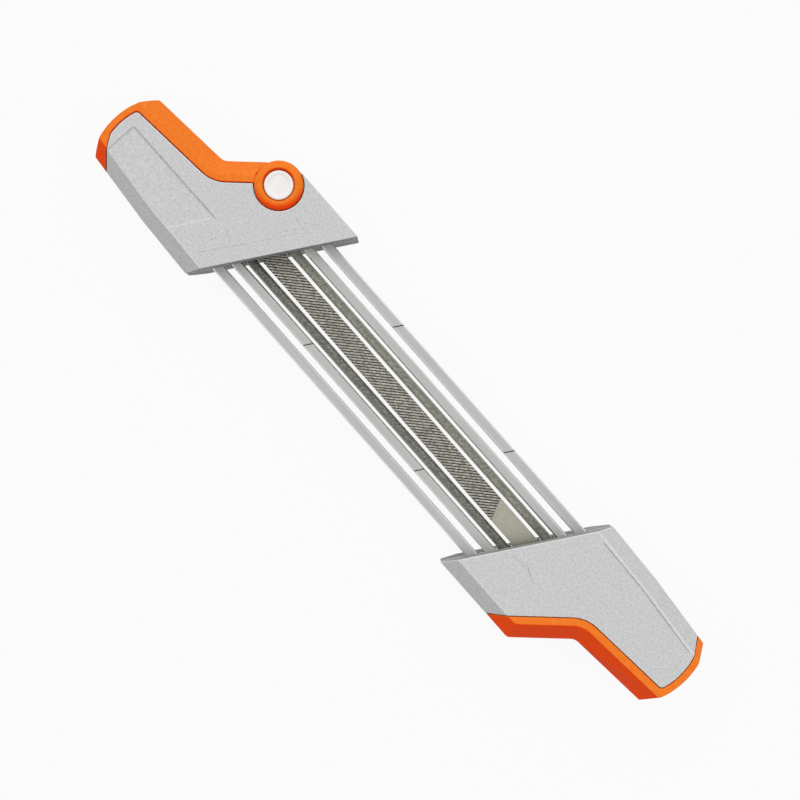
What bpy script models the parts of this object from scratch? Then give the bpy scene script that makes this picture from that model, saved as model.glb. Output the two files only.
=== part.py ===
"""Two-in-one filing guide for sharpening a saw chain by hand.

Two handles hold four steel guide rails, two round files and a flat file.
The latch handle has a lift-off cover with a swinging lever on it.
X runs from the latch handle to the fixed handle, Y across the files, Z up.
The origin is under the middle of the tool. Both handles are drawn at the +X
end, and the latch handle is turned half a turn by the empty that carries it.
"""

import math

import bmesh
import bpy
from mathutils import Matrix, Vector
from mathutils.geometry import tessellate_polygon

MM = 0.001

# Whole tool
OVERALL_LENGTH = 320.0 * MM
GAP = 0.3 * MM
OVERRUN = 5.0 * MM

# Files and rails, from the middle of the tool outwards
FLAT_FILE_WIDTH = 9.0 * MM
FLAT_FILE_THICKNESS = 3.0 * MM
FLAT_FILE_RISE = 0.65 * MM
FLAT_TANG_WIDTH = 5.0 * MM
FILE_GAP = 1.3 * MM
ROUND_FILE_DIAMETER = 4.0 * MM
ROUND_FILE_SINK = 1.2 * MM
ROUND_TANG_DIAMETER = 2.6 * MM
TANG_LENGTH = 9.0 * MM
FILE_TIP_CHAMFER = 0.5 * MM
INNER_RAIL_GAP = 1.05 * MM
INNER_RAIL_WIDTH = 3.9 * MM
WINDOW_WIDTH = 2.75 * MM
OUTER_RAIL_WIDTH = 4.15 * MM
RAIL_HEIGHT = 6.0 * MM
RAIL_BOTTOM = 10.0 * MM
RAIL_EDGE = 0.5 * MM
BAR_GRIP = 22.25 * MM
FILE_GRIP = 21.0 * MM
MARK_OFFSET = 34.0 * MM
MARK_WIDTH = 0.5 * MM
MARK_DEPTH = 0.35 * MM

# Handle outline
FILING_ANGLE = math.radians(30.0)
SIDE_MARGIN = 9.25 * MM
GRIP_LENGTH = 60.0 * MM
SHOULDER_ROOM = 5.75 * MM
SLOPE_ANGLE = math.radians(46.9)
GRIP_TAPER = math.radians(5.0)
END_RADIUS = 32.8 * MM
END_HALF_HEIGHT = 17.35 * MM
BACK_DROP = 3.9 * MM
TAIL_LENGTH = 32.4 * MM
BAND_WIDTH = 9.3 * MM
END_BAND_WIDTH = 2.8 * MM
CHAMFER_WIDTH = 6.2 * MM
CHAMFER_DEPTH = 7.0 * MM
SHOULDER_RADIUS = 3.0 * MM
CROOK_RADIUS = 5.0 * MM
TIP_RADIUS = 1.2 * MM
BAND_CORNER_RADIUS = 1.75 * MM

# Handle shells
WALL = 2.5 * MM
SPLIT_RISE = 0.3 * MM
CHEEK = 1.5 * MM
SEAT_START = 8.0 * MM
SEAT_RIB_HEIGHT = 0.7 * MM
CRADLE_START = 1.5 * MM
CRADLE_RISE = 3.0 * MM
END_STOP = 2.5 * MM
PRESS_RIB_START = 14.0 * MM
PRESS_RIB_LENGTH = 4.0 * MM

# Fasteners
PIN_DIAMETER = 1.9 * MM
PIN_FROM_END = 4.0 * MM
PIN_DEPTH = 3.5 * MM
PLATE_THICKNESS = 1.5 * MM
PLATE_START = 6.0 * MM
PLATE_END_MARGIN = 1.0 * MM
CLAMP_SCREW_DIAMETER = 2.0 * MM
CLAMP_SCREW_HEAD = 3.8 * MM
CLAMP_SCREW_HEAD_HEIGHT = 1.3 * MM
CLAMP_SCREW_PLACE = 12.0 * MM
CLAMP_SCREW_DEPTH = 3.7 * MM
CASE_SCREW_DIAMETER = 2.9 * MM
CASE_SCREW_HEAD = 5.4 * MM
CASE_SCREW_HEAD_HEIGHT = 2.0 * MM
CASE_SCREW_SINK = 1.0 * MM
CASE_SCREW_LENGTH = 21.5 * MM
CASE_BOSS_WALL = 1.0 * MM

# Latch lever, its pivot and the cover
RING_RADIUS = 10.0 * MM
RING_MARGIN = 0.1 * MM
RING_THICKNESS = 3.8 * MM
RING_PROUD = 0.9 * MM
RING_ROUND = 1.9 * MM
RING_SHOULDER_SHARE = 0.3
RING_BORE_RADIUS = 6.2 * MM
HUB_THICKNESS = 1.6 * MM
LEVER_NECK_LIP = 1.0 * MM
NECK_OVERLAP = 3.0 * MM
LEVER_CAVITY_START = 17.0 * MM
HOOK_BITE = 2.6 * MM
LEVER_FOOT = 0.4 * MM
PIVOT_SHANK_RADIUS = 2.5 * MM
PIVOT_RIM_WIDTH = 1.7 * MM
PIVOT_RIM_PROUD = 0.5 * MM
PIVOT_DISH = 0.5 * MM
WASHER_RADIUS = 5.2 * MM
WASHER_THICKNESS = 0.5 * MM
CLIP_RADIUS = 4.4 * MM
CLIP_THICKNESS = 0.8 * MM
PIVOT_TAIL = 0.7 * MM
PIVOT_ROOM = 1.1 * MM
PEG_RADIUS = 2.5 * MM
PEG_LENGTH = 6.0 * MM
PEG_SOCKET_WALL = 1.6 * MM
PAD_START = 10.0 * MM
PAD_LENGTH = 8.0 * MM
PAD_THICKNESS = 2.4 * MM

# Counts
END_STEPS = 20
CORNER_STEPS = 6
DISC_STEPS = 20
HOOK_STEPS = 5
CHAMFER_STEPS = 4
ROUND_STEPS = 48
HOLE_STEPS = 20
FILE_STEPS = 32
PIN_STEPS = 12

# Finish and solver
SHARP_ANGLE = math.radians(30.0)
SOLVER = "EXACT"
# These come out of the solver above with open edges
SHELL_SOLVER = "MANIFOLD"
SHELLS = {
    "fixed_handle_bottom_shell",
    "fixed_handle_top_shell",
    "latch_handle_base",
    "latch_handle_cover",
    "latch_cover_cavity",
}

# Heights and places that follow
RAIL_TOP = RAIL_BOTTOM + RAIL_HEIGHT
SPLIT_HEIGHT = RAIL_TOP + SPLIT_RISE
ROUND_FILE_HEIGHT = RAIL_BOTTOM - ROUND_FILE_SINK
FLAT_FILE_BOTTOM = RAIL_BOTTOM - FLAT_FILE_RISE
FLAT_FILE_TOP = FLAT_FILE_BOTTOM + FLAT_FILE_THICKNESS
ROUND_FILE_TOP = ROUND_FILE_HEIGHT + ROUND_FILE_DIAMETER / 2
FLAT_EDGE = FLAT_FILE_WIDTH / 2
ROUND_EDGE = FLAT_EDGE + FILE_GAP
ROUND_MIDDLE = ROUND_EDGE + ROUND_FILE_DIAMETER / 2
INNER_RAIL_EDGE = ROUND_EDGE + ROUND_FILE_DIAMETER + INNER_RAIL_GAP
INNER_RAIL_MIDDLE = INNER_RAIL_EDGE + INNER_RAIL_WIDTH / 2
WINDOW_EDGE = INNER_RAIL_EDGE + INNER_RAIL_WIDTH
OUTER_RAIL_EDGE = WINDOW_EDGE + WINDOW_WIDTH
OUTER_RAIL_MIDDLE = OUTER_RAIL_EDGE + OUTER_RAIL_WIDTH / 2
BARS_EDGE = OUTER_RAIL_EDGE + OUTER_RAIL_WIDTH
HALF_WIDTH = BARS_EDGE + SIDE_MARGIN
HALF_LENGTH = OVERALL_LENGTH / 2
FACE_MIDDLE = HALF_LENGTH - GRIP_LENGTH - BAR_GRIP
GRIP_MIDDLE_Y = HALF_WIDTH - BACK_DROP - END_HALF_HEIGHT
END_CENTRE = Vector((HALF_LENGTH - END_RADIUS, GRIP_MIDDLE_Y))
PIVOT_MARGIN = RING_RADIUS + RING_MARGIN
PIN_LOW = SPLIT_HEIGHT + GAP + PIVOT_ROOM
CLIP_LOW = PIN_LOW + PIVOT_TAIL
WASHER_LOW = CLIP_LOW + CLIP_THICKNESS + GAP
RING_FLOOR_LOW = WASHER_LOW + WASHER_THICKNESS + GAP
RING_FLOOR = RING_FLOOR_LOW + WALL + GAP
RING_TOP = RING_FLOOR + RING_THICKNESS
HANDLE_HEIGHT = RING_TOP - RING_PROUD
CASE_BOSS_RADIUS = CASE_SCREW_HEAD / 2 + GAP + CASE_BOSS_WALL


def face_x(y):
    """X of the handle's slanted inner face at this Y."""
    return FACE_MIDDLE + y * math.tan(FILING_ANGLE)


def material(name, colour, roughness, metallic=0.0):
    """A plain Principled BSDF material."""
    made = bpy.data.materials.new(name)
    made.use_nodes = True
    shader = made.node_tree.nodes["Principled BSDF"]
    shader.inputs["Base Color"].default_value = (*colour, 1.0)
    shader.inputs["Roughness"].default_value = roughness
    shader.inputs["Metallic"].default_value = metallic
    made.diffuse_color = (*colour, 1.0)
    return made


# Outline geometry in plan


def shifted(line, inset):
    """The line moved to its left, which is into the handle."""
    point, direction = line
    return point + Vector((-direction.y, direction.x)) * inset, direction


def meet(first, second):
    """Where two lines cross."""
    (a, u), (b, v) = first, second
    return a + u * (b - a).cross(v) / u.cross(v)


def meet_circle(line, centre, radius):
    """The crossing of a line and a circle that has the larger X."""
    point, direction = line
    near = point + direction * (centre - point).dot(direction)
    half = math.sqrt(max(radius**2 - (near - centre).length_squared, 0.0))
    return max(near + direction * half, near - direction * half, key=lambda p: p.x)


def arc(centre, radius, start, end, steps):
    """Points on an arc, both ends included."""
    turns = [start + (end - start) * step / steps for step in range(steps + 1)]
    return [centre + Vector((math.cos(turn), math.sin(turn))) * radius for turn in turns]


def angle_of(point, centre):
    return math.atan2(point.y - centre.y, point.x - centre.x)


def rounded(corners):
    """An outline with each (point, radius) corner rounded by an arc."""
    points = []
    for index, (corner, radius) in enumerate(corners):
        if radius == 0:
            points.append(corner)
            continue
        before = (corners[index - 1][0] - corner).normalized()
        after = (corners[(index + 1) % len(corners)][0] - corner).normalized()
        half_angle = before.angle(after) / 2
        reach = radius / math.tan(half_angle)
        centre = corner + (before + after).normalized() * radius / math.sin(half_angle)
        first = angle_of(corner + before * reach, centre)
        swing = (angle_of(corner + after * reach, centre) - first + math.pi) % math.tau - math.pi
        points += arc(centre, radius, first, first + swing, CORNER_STEPS)
    return points


def base_lines():
    """The handle outline's straight edges, anticlockwise, as (point, direction)."""
    foot_start = Vector((face_x(-HALF_WIDTH), -HALF_WIDTH))
    slope_run = BAND_WIDTH / math.sin(SLOPE_ANGLE)
    slope_start = foot_start + Vector((BAR_GRIP + SHOULDER_ROOM + slope_run, 0))
    end_run = math.sqrt(END_RADIUS**2 - END_HALF_HEIGHT**2)
    belly_end = END_CENTRE + Vector((end_run, -END_HALF_HEIGHT))
    tail_end = END_CENTRE + Vector((end_run, END_HALF_HEIGHT))
    tail_start = tail_end + Vector((-1, math.tan(GRIP_TAPER))) * TAIL_LENGTH
    face_top = Vector((face_x(HALF_WIDTH), HALF_WIDTH))
    return {
        "foot": (foot_start, Vector((1, 0))),
        "slope": (slope_start, Vector((math.cos(SLOPE_ANGLE), math.sin(SLOPE_ANGLE)))),
        "belly": (belly_end, Vector((math.cos(GRIP_TAPER), math.sin(GRIP_TAPER)))),
        "tail": (tail_end, (tail_start - tail_end).normalized()),
        "back": (tail_start, (face_top - tail_start).normalized()),
        "face": (face_top, (foot_start - face_top).normalized()),
    }


LINES = base_lines()


def find_pivot():
    """The lever's pivot, as far from the slope edge as from the foot edge."""
    return meet(shifted(LINES["foot"], PIVOT_MARGIN), shifted(LINES["slope"], PIVOT_MARGIN))


PIVOT = find_pivot()


class Outline:
    """The handle's outline with each edge moved inwards by its own inset."""

    def __init__(self, foot=0.0, slope=0.0, belly=0.0, end=0.0, back=0.0, face=0.0):
        insets = {"foot": foot, "slope": slope, "belly": belly, "tail": back, "back": back, "face": face}
        self.lines = {name: shifted(LINES[name], inset) for name, inset in insets.items()}
        self.inset = insets
        self.end_radius = END_RADIUS - end
        lines = self.lines
        self.face_foot = meet(lines["face"], lines["foot"])
        self.shoulder = meet(lines["foot"], lines["slope"])
        self.crook = meet(lines["slope"], lines["belly"])
        self.belly_tip = meet_circle(lines["belly"], END_CENTRE, self.end_radius)
        self.tail_tip = meet_circle(lines["tail"], END_CENTRE, self.end_radius)
        self.bend = meet(lines["tail"], lines["back"])
        self.face_back = meet(lines["back"], lines["face"])

    def end_arc(self, stop=None):
        """The end arc's points, from past the belly tip's rounding to the tail tip, or stop."""
        start = angle_of(self.belly_tip, END_CENTRE) + 2 * BAND_CORNER_RADIUS / self.end_radius
        end = angle_of(self.tail_tip if stop is None else stop, END_CENTRE)
        return arc(END_CENTRE, self.end_radius, start, end, END_STEPS)[:-1]

    def crook_corner(self, radius=CROOK_RADIUS):
        return self.crook, radius + self.inset["slope"]

    def belly_corner(self, radius=TIP_RADIUS):
        return self.belly_tip, radius


def plain(points):
    """Corners that aren't rounded."""
    return [(point, 0) for point in points]


def grip_band_outline(chamfer):
    """Plan of the fixed handle's orange band, with its outer edges chamfered."""
    outer = Outline(foot=chamfer, slope=chamfer, belly=chamfer, back=chamfer)
    inner = Outline(foot=chamfer, slope=BAND_WIDTH, belly=BAND_WIDTH, end=END_BAND_WIDTH, back=chamfer)
    return rounded(
        [(outer.shoulder, SHOULDER_RADIUS), outer.crook_corner(), outer.belly_corner()]
        + plain(outer.end_arc())
        + [(outer.tail_tip, TIP_RADIUS), (inner.tail_tip, 0)]
        + plain(inner.end_arc()[::-1])
        + [inner.belly_corner(BAND_CORNER_RADIUS), inner.crook_corner(), (inner.shoulder, 0)]
    )


def fixed_outline(foot=0.0, back=0.0, face=0.0, wall=0.0):
    """Plan of the fixed handle's grey shells, which stop short of the band."""
    band = BAND_WIDTH + GAP + wall
    line = Outline(foot=foot, slope=band, belly=band, end=END_BAND_WIDTH + GAP + wall, back=back, face=face)
    return rounded(
        plain([line.face_foot, line.shoulder])
        + [line.crook_corner(), line.belly_corner(BAND_CORNER_RADIUS)]
        + plain(line.end_arc() + [line.tail_tip, line.bend, line.face_back])
    )


def hook_radius():
    """Distance from the pivot to the hook's inner face, which swings about it."""
    inner = Outline(slope=BAND_WIDTH, belly=BAND_WIDTH, end=END_BAND_WIDTH)
    return (inner.tail_tip - PIVOT).length - HOOK_BITE


def circles_meet(centre, radius, other, other_radius):
    """The crossing of two circles that has the larger X."""
    between = other - centre
    distance = between.length
    along = (distance**2 + radius**2 - other_radius**2) / (2 * distance)
    half = math.sqrt(max(radius**2 - along**2, 0.0))
    way = between / distance
    side = Vector((-way.y, way.x)) * half
    middle = centre + way * along
    return max(middle + side, middle - side, key=lambda p: p.x)


def latch_side(line, disc_radius, hook):
    """Corners from the pivot disc round to the hook, where lever and handle meet."""
    turn = angle_of(meet_circle(line.lines["slope"], PIVOT, disc_radius), PIVOT)
    start = PIVOT + Vector((math.cos(turn), math.sin(turn))) * disc_radius
    hook_start = circles_meet(END_CENTRE, line.end_radius, PIVOT, hook)
    hook_end = meet_circle(line.lines["tail"], PIVOT, hook)
    hook_arc = arc(PIVOT, hook, angle_of(hook_start, PIVOT), angle_of(hook_end, PIVOT), HOOK_STEPS)
    corners = (
        [(start, 0), line.crook_corner(), line.belly_corner(BAND_CORNER_RADIUS)]
        + plain(line.end_arc(hook_start))
        + plain(hook_arc)
    )
    return corners, turn


def latch_outline(foot=0.0, back=0.0, face=0.0, wall=0.0):
    """Plan of the latch handle's grey shells, with a round shoulder about the pivot."""
    band = BAND_WIDTH + GAP + wall
    line = Outline(foot=foot, slope=band, belly=band, end=END_BAND_WIDTH + GAP + wall, back=back, face=face)
    disc_radius = PIVOT_MARGIN - foot
    side, turn = latch_side(line, disc_radius, hook_radius() - GAP - wall)
    disc = arc(PIVOT, disc_radius, -math.pi / 2, turn, DISC_STEPS)[:-1]
    return rounded(plain([line.face_foot] + disc) + side + plain([line.bend, line.face_back]))


def lever_outline(chamfer):
    """Plan of the lever's arm, from beside the ring to the hook."""
    outer = Outline(slope=chamfer, belly=chamfer, back=chamfer)
    inner = Outline(slope=BAND_WIDTH, belly=BAND_WIDTH, end=END_BAND_WIDTH, back=chamfer)
    inner_radius = PIVOT_MARGIN + GAP
    side, turn = latch_side(inner, inner_radius, hook_radius())
    start = meet_circle(outer.lines["slope"], PIVOT, inner_radius + LEVER_NECK_LIP)
    start_turn = angle_of(start, PIVOT)
    root = arc(PIVOT, inner_radius, turn, start_turn, CORNER_STEPS)[1:]
    return rounded(
        [(start, 0), outer.crook_corner(), outer.belly_corner()]
        + plain(outer.end_arc())
        + [(outer.tail_tip, TIP_RADIUS)]
        + side[::-1]
        + plain(root)
    )


# Solids


def skin(rings, plan, closed=True):
    """A closed mesh of triangles through rings of points. The plan is the caps' shape in 2D."""
    mesh = bmesh.new()
    loops = [[mesh.verts.new(point) for point in ring] for ring in rings]
    pairs = zip(loops, loops[1:] if closed else loops[1:] + loops[:1])
    for low, high in pairs:
        for index in range(len(low)):
            after = (index + 1) % len(low)
            mesh.faces.new((low[index], low[after], high[after]))
            mesh.faces.new((low[index], high[after], high[index]))
    if closed:
        for loop in (loops[0], loops[-1]):
            for triangle in tessellate_polygon([[(point / MM).to_3d() for point in plan]]):
                mesh.faces.new([loop[index] for index in triangle])
    bmesh.ops.recalc_face_normals(mesh, faces=mesh.faces)
    return mesh


def loft(levels):
    """A solid through outlines at rising heights, as (height, points), all of like shape."""
    rings = [[(p.x, p.y, height) for p in points] for height, points in levels]
    return skin(rings, levels[0][1])


def rectangle(x_low, x_high, y_low, y_high):
    corners = ((x_low, y_low), (x_high, y_low), (x_high, y_high), (x_low, y_high))
    return [Vector(corner) for corner in corners]


def prism(points, low, high):
    return loft([(low, points), (high, points)])


def turned(profile, steps=ROUND_STEPS, place=(0, 0)):
    """A solid turned about Z from (radius, height) points, with flat ends."""
    plan = arc(Vector((0, 0)), profile[0][0], 0, math.tau, steps)[:-1]
    return skin(turned_rings(profile, steps, place), plan)


def tube(profile, steps=ROUND_STEPS, place=(0, 0)):
    """A ring turned about Z from a closed (radius, height) profile."""
    return skin(turned_rings(profile, steps, place), None, closed=False)


def turned_rings(profile, steps, place):
    rings = []
    for radius, height in profile:
        rings.append([(p.x, p.y, height) for p in arc(Vector(place), radius, 0, math.tau, steps)[:-1]])
    return rings


def cylinder(place, radius, low, high, steps=HOLE_STEPS):
    return turned([(radius, low), (radius, high)], steps, place)


def slanted(profile, start, end):
    """A (y, z) profile run along X, from start to end past the slanted inner face."""
    rings = [[(face_x(y) + past, y, z) for y, z in profile] for past in (start, end)]
    return skin(rings, [Vector(point) for point in profile])


def block(y_low, y_high, z_low, z_high, start, end):
    """A slanted block between two Y values."""
    return slanted([(y_low, z_low), (y_high, z_low), (y_high, z_high), (y_low, z_high)], start, end)


def along_x(profile, x_low, x_high):
    """A (y, z) profile run straight along X."""
    rings = [[(x, y, z) for y, z in profile] for x in (x_low, x_high)]
    return skin(rings, [Vector(point) for point in profile])


def joined(meshes):
    """Several closed meshes that don't touch, in one."""
    whole = bmesh.new()
    for mesh in meshes:
        copied = {vert: whole.verts.new(vert.co) for vert in mesh.verts}
        for face in mesh.faces:
            whole.faces.new([copied[vert] for vert in face.verts])
        mesh.free()
    return whole


def add_object(name, mesh, finish=None, parent=None, smooth=False):
    data = bpy.data.meshes.new(name)
    mesh.to_mesh(data)
    mesh.free()
    if smooth:
        data.shade_smooth()
        data.set_sharp_from_angle(angle=SHARP_ANGLE)
    made = bpy.data.objects.new(name, data)
    bpy.context.scene.collection.objects.link(made)
    made.parent = parent
    if finish:
        data.materials.append(finish)
    return made


def tool_shape(name, mesh, parent):
    """A helper that cuts or joins a part, and isn't part of the tool itself."""
    made = add_object(name, mesh, parent=parent)
    made.hide_render = True
    made.display_type = "WIRE"
    return made


def apply_tool(part, operation, helper):
    change = part.modifiers.new(helper.name, "BOOLEAN")
    change.operation = operation
    change.solver = SHELL_SOLVER if part.name in SHELLS else SOLVER
    change.object = helper


def cut(part, helper):
    apply_tool(part, "DIFFERENCE", helper)


def join(part, helper):
    apply_tool(part, "UNION", helper)


def carrier(name, parent=None, place=(0, 0, 0), turn=0.0):
    """An empty that carries pieces."""
    made = bpy.data.objects.new(name, None)
    bpy.context.scene.collection.objects.link(made)
    made.parent = parent
    made.location = place
    made.rotation_euler.z = turn
    return made


# Rails and files


def bar_end(y):
    """X at which a rail ends inside the handle at +X."""
    return face_x(y) + BAR_GRIP


def file_end(y):
    """X at which a file ends inside the handle at +X."""
    return face_x(y) + FILE_GRIP


def chamfered_section(y_low, y_high, z_low, z_high, edge):
    return [
        (y_low + edge, z_low),
        (y_high - edge, z_low),
        (y_high, z_low + edge),
        (y_high, z_high - edge),
        (y_high - edge, z_high),
        (y_low + edge, z_high),
        (y_low, z_high - edge),
        (y_low, z_low + edge),
    ]


def pin_places():
    """Plan places of the dowel pins, in the handle's own frame, by the rail they hold."""
    places = {}
    for side, side_name in ((1, "plus"), (-1, "minus")):
        for rail_name, middle in (("inner", INNER_RAIL_MIDDLE), ("outer", OUTER_RAIL_MIDDLE)):
            y = side * middle
            places[f"{side_name}_{rail_name}"] = (bar_end(y) - PIN_FROM_END, y)
    return places


def make_rail(name, middle, width, finish, marked):
    low, high = middle - width / 2, middle + width / 2
    section = chamfered_section(low, high, RAIL_BOTTOM, RAIL_TOP, RAIL_EDGE)
    rail = add_object(name, along_x(section, -bar_end(-middle), bar_end(middle)), finish)
    radius = PIN_DIAMETER / 2 + GAP
    ends = (bar_end(middle) - PIN_FROM_END, PIN_FROM_END - bar_end(-middle))
    holes = [
        cylinder((x, middle), radius, RAIL_BOTTOM - OVERRUN, RAIL_TOP + OVERRUN, PIN_STEPS) for x in ends
    ]
    cut(rail, tool_shape(name + "_pin_holes", joined(holes), None))
    if marked:
        marks = []
        for offset in (-MARK_OFFSET, MARK_OFFSET):
            start = offset - FACE_MIDDLE - MARK_WIDTH / 2
            low_z, high_z = RAIL_TOP - MARK_DEPTH, RAIL_TOP + OVERRUN
            marks.append(block(low - OVERRUN, high + OVERRUN, low_z, high_z, start, start + MARK_WIDTH))
        cut(rail, tool_shape(name + "_angle_marks", joined(marks), None))
    return rail


def make_round_file(name, middle, finish):
    """A round file with a tapered tang in the fixed handle, turned about its own axis."""
    radius = ROUND_FILE_DIAMETER / 2
    start, end = -file_end(-middle), file_end(middle)
    profile = [
        (radius - FILE_TIP_CHAMFER, start),
        (radius, start + FILE_TIP_CHAMFER),
        (radius, end - TANG_LENGTH),
        (ROUND_TANG_DIAMETER / 2, end),
    ]
    made = add_object(name, turned(profile, FILE_STEPS), finish, smooth=True)
    made.rotation_euler.y = math.pi / 2
    made.location = (0, middle, ROUND_FILE_HEIGHT)
    return made


def make_flat_file(finish):
    end = file_end(0)
    body_end = end - TANG_LENGTH
    neck_end = body_end + FLAT_EDGE - FLAT_TANG_WIDTH / 2
    corners = (
        (-end, -FLAT_EDGE),
        (body_end, -FLAT_EDGE),
        (neck_end, -FLAT_TANG_WIDTH / 2),
        (end, -FLAT_TANG_WIDTH / 2),
        (end, FLAT_TANG_WIDTH / 2),
        (neck_end, FLAT_TANG_WIDTH / 2),
        (body_end, FLAT_EDGE),
        (-end, FLAT_EDGE),
    )
    plan = [Vector(corner) for corner in corners]
    return add_object("flat_file", prism(plan, FLAT_FILE_BOTTOM, FLAT_FILE_TOP), finish)


# What both handles hold


def rail_slots(name, parent):
    """Cuts the rails' channels through the face wall and the cradles."""
    slots = []
    for side in (-1, 1):
        inner = sorted((side * (INNER_RAIL_EDGE - INNER_RAIL_GAP), side * (WINDOW_EDGE + GAP)))
        outer = sorted((side * (OUTER_RAIL_EDGE - GAP), side * (BARS_EDGE + GAP)))
        for (low, high), middle in ((inner, INNER_RAIL_MIDDLE), (outer, OUTER_RAIL_MIDDLE)):
            start, end = face_x(side * middle) - OVERRUN, bar_end(side * middle) + GAP
            plan = rectangle(start, end, low, high)
            slots.append(prism(plan, RAIL_BOTTOM - GAP, SPLIT_HEIGHT + OVERRUN))
    return tool_shape(name, joined(slots), parent)


def file_slots(name, parent):
    """Cuts the files' channels, round at the bottom for the round files."""
    top = SPLIT_HEIGHT + OVERRUN
    flat = [
        (-FLAT_EDGE - GAP, FLAT_FILE_BOTTOM - GAP),
        (FLAT_EDGE + GAP, FLAT_FILE_BOTTOM - GAP),
        (FLAT_EDGE + GAP, top),
        (-FLAT_EDGE - GAP, top),
    ]
    slots = [along_x(flat, face_x(-FLAT_EDGE) - OVERRUN, file_end(0) + GAP)]
    radius = ROUND_FILE_DIAMETER / 2 + GAP
    for side in (-1, 1):
        middle = side * ROUND_MIDDLE
        bottom = arc(Vector((middle, ROUND_FILE_HEIGHT)), radius, -math.pi, 0, HOLE_STEPS // 2)
        section = [(p.x, p.y) for p in bottom] + [(middle + radius, top), (middle - radius, top)]
        slots.append(along_x(section, face_x(middle - radius) - OVERRUN, file_end(middle) + GAP))
    return tool_shape(name, joined(slots), parent)


def cradles(name, parent):
    """Blocks on the floor that carry the rails, one on each side."""
    blocks = []
    for side in (-1, 1):
        low, high = sorted((side * (INNER_RAIL_EDGE - GAP), side * (BARS_EDGE + CHEEK)))
        top = RAIL_BOTTOM + CRADLE_RISE
        blocks.append(block(low, high, WALL / 2, top, CRADLE_START, BAR_GRIP + GAP + END_STOP))
    return tool_shape(name, joined(blocks), parent)


def pin_holes(name, parent):
    radius, low = PIN_DIAMETER / 2 + GAP, RAIL_BOTTOM - PIN_DEPTH - GAP
    holes = [cylinder(place, radius, low, SPLIT_HEIGHT, PIN_STEPS) for place in pin_places().values()]
    return tool_shape(name, joined(holes), parent)


def make_rail_pins(names, parent, finish):
    """The four dowel pins, with names given by the rail in the handle's own frame."""
    for rail, place in pin_places().items():
        pin = cylinder(place, PIN_DIAMETER / 2, RAIL_BOTTOM - PIN_DEPTH, RAIL_TOP, PIN_STEPS)
        add_object(names[rail], pin, finish, parent, smooth=True)


def make_file_seat(name, parent, slots, finish):
    """The block that carries the files' ends, between the two cradles."""
    edge = INNER_RAIL_EDGE - 2 * GAP
    top = ROUND_FILE_TOP - SEAT_RIB_HEIGHT
    body = block(-edge, edge, WALL + GAP, top, SEAT_START, BAR_GRIP + GAP + END_STOP)
    seat = add_object(name, body, finish, parent)
    cut(seat, slots)
    return seat


def cavity_inset():
    """How far the cavity's flat stays in from a chamfered edge, to keep the wall."""
    lean = CHAMFER_WIDTH / CHAMFER_DEPTH
    return (CHAMFER_DEPTH - WALL) * lean + WALL * math.sqrt(1 + lean**2)


def cavity_shoulder():
    """How far from the top the cavity's own chamfer starts."""
    lean = CHAMFER_WIDTH / CHAMFER_DEPTH
    return WALL + (cavity_inset() - WALL) / lean


# Fixed handle


def grip_middle():
    """Plan place in the middle of the grip's end."""
    return ((END_CENTRE.x + HALF_LENGTH) / 2, GRIP_MIDDLE_Y)


def case_screw_places():
    """Plan places of the screws: past the files, past the left rails and in the grip."""
    past = BAR_GRIP + GAP + END_STOP + (CASE_BOSS_RADIUS + GAP) / math.cos(FILING_ANGLE)
    heel = (face_x(-ROUND_MIDDLE) + past, -ROUND_MIDDLE)
    shoulder = (face_x(OUTER_RAIL_MIDDLE) + past, OUTER_RAIL_MIDDLE)
    return {"heel": heel, "shoulder": shoulder, "grip": grip_middle()}


def fixed_shell_levels(low, high):
    """The grey shell's outline at each height from low to high."""
    plain_outline = fixed_outline()
    chamfered = fixed_outline(foot=CHAMFER_WIDTH, back=CHAMFER_WIDTH)
    if low == 0:
        return [(low, chamfered), (CHAMFER_DEPTH, plain_outline), (high, plain_outline)]
    return [(low, plain_outline), (high - CHAMFER_DEPTH, plain_outline), (high, chamfered)]


def fixed_cavity_levels(low):
    """The hollow inside the bottom shell, or the top shell when low is not zero."""
    edge = cavity_inset()
    tight = fixed_outline(foot=edge, back=edge, face=WALL, wall=WALL)
    wide = fixed_outline(foot=WALL, back=WALL, face=WALL, wall=WALL)
    if low == 0:
        return [(WALL, tight), (cavity_shoulder(), wide), (SPLIT_HEIGHT + OVERRUN, wide)]
    roof = HANDLE_HEIGHT - WALL
    return [(low - OVERRUN, wide), (HANDLE_HEIGHT - cavity_shoulder(), wide), (roof, tight)]


def make_fixed_bottom(parent, slots, channels, finish):
    places = case_screw_places().values()
    outside = loft(fixed_shell_levels(0, SPLIT_HEIGHT))
    shell = add_object("fixed_handle_bottom_shell", outside, finish, parent)
    cut(shell, tool_shape("fixed_bottom_cavity", loft(fixed_cavity_levels(0)), parent))
    join(shell, cradles("fixed_cradles", parent))
    bosses = [cylinder(place, CASE_BOSS_RADIUS, WALL / 2, SPLIT_HEIGHT) for place in places]
    join(shell, tool_shape("fixed_bottom_bosses", joined(bosses), parent))
    cut(shell, slots)
    cut(shell, channels)
    cut(shell, pin_holes("fixed_pin_holes", parent))
    radius = CASE_SCREW_DIAMETER / 2 + GAP
    shanks = [cylinder(place, radius, -OVERRUN, SPLIT_HEIGHT + OVERRUN) for place in places]
    cut(shell, tool_shape("fixed_screw_bores", joined(shanks), parent))
    sink = CASE_SCREW_SINK + CASE_SCREW_HEAD_HEIGHT + GAP
    heads = [cylinder(place, CASE_SCREW_HEAD / 2 + GAP, -OVERRUN, sink) for place in places]
    cut(shell, tool_shape("fixed_screw_counterbores", joined(heads), parent))
    return shell


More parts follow.
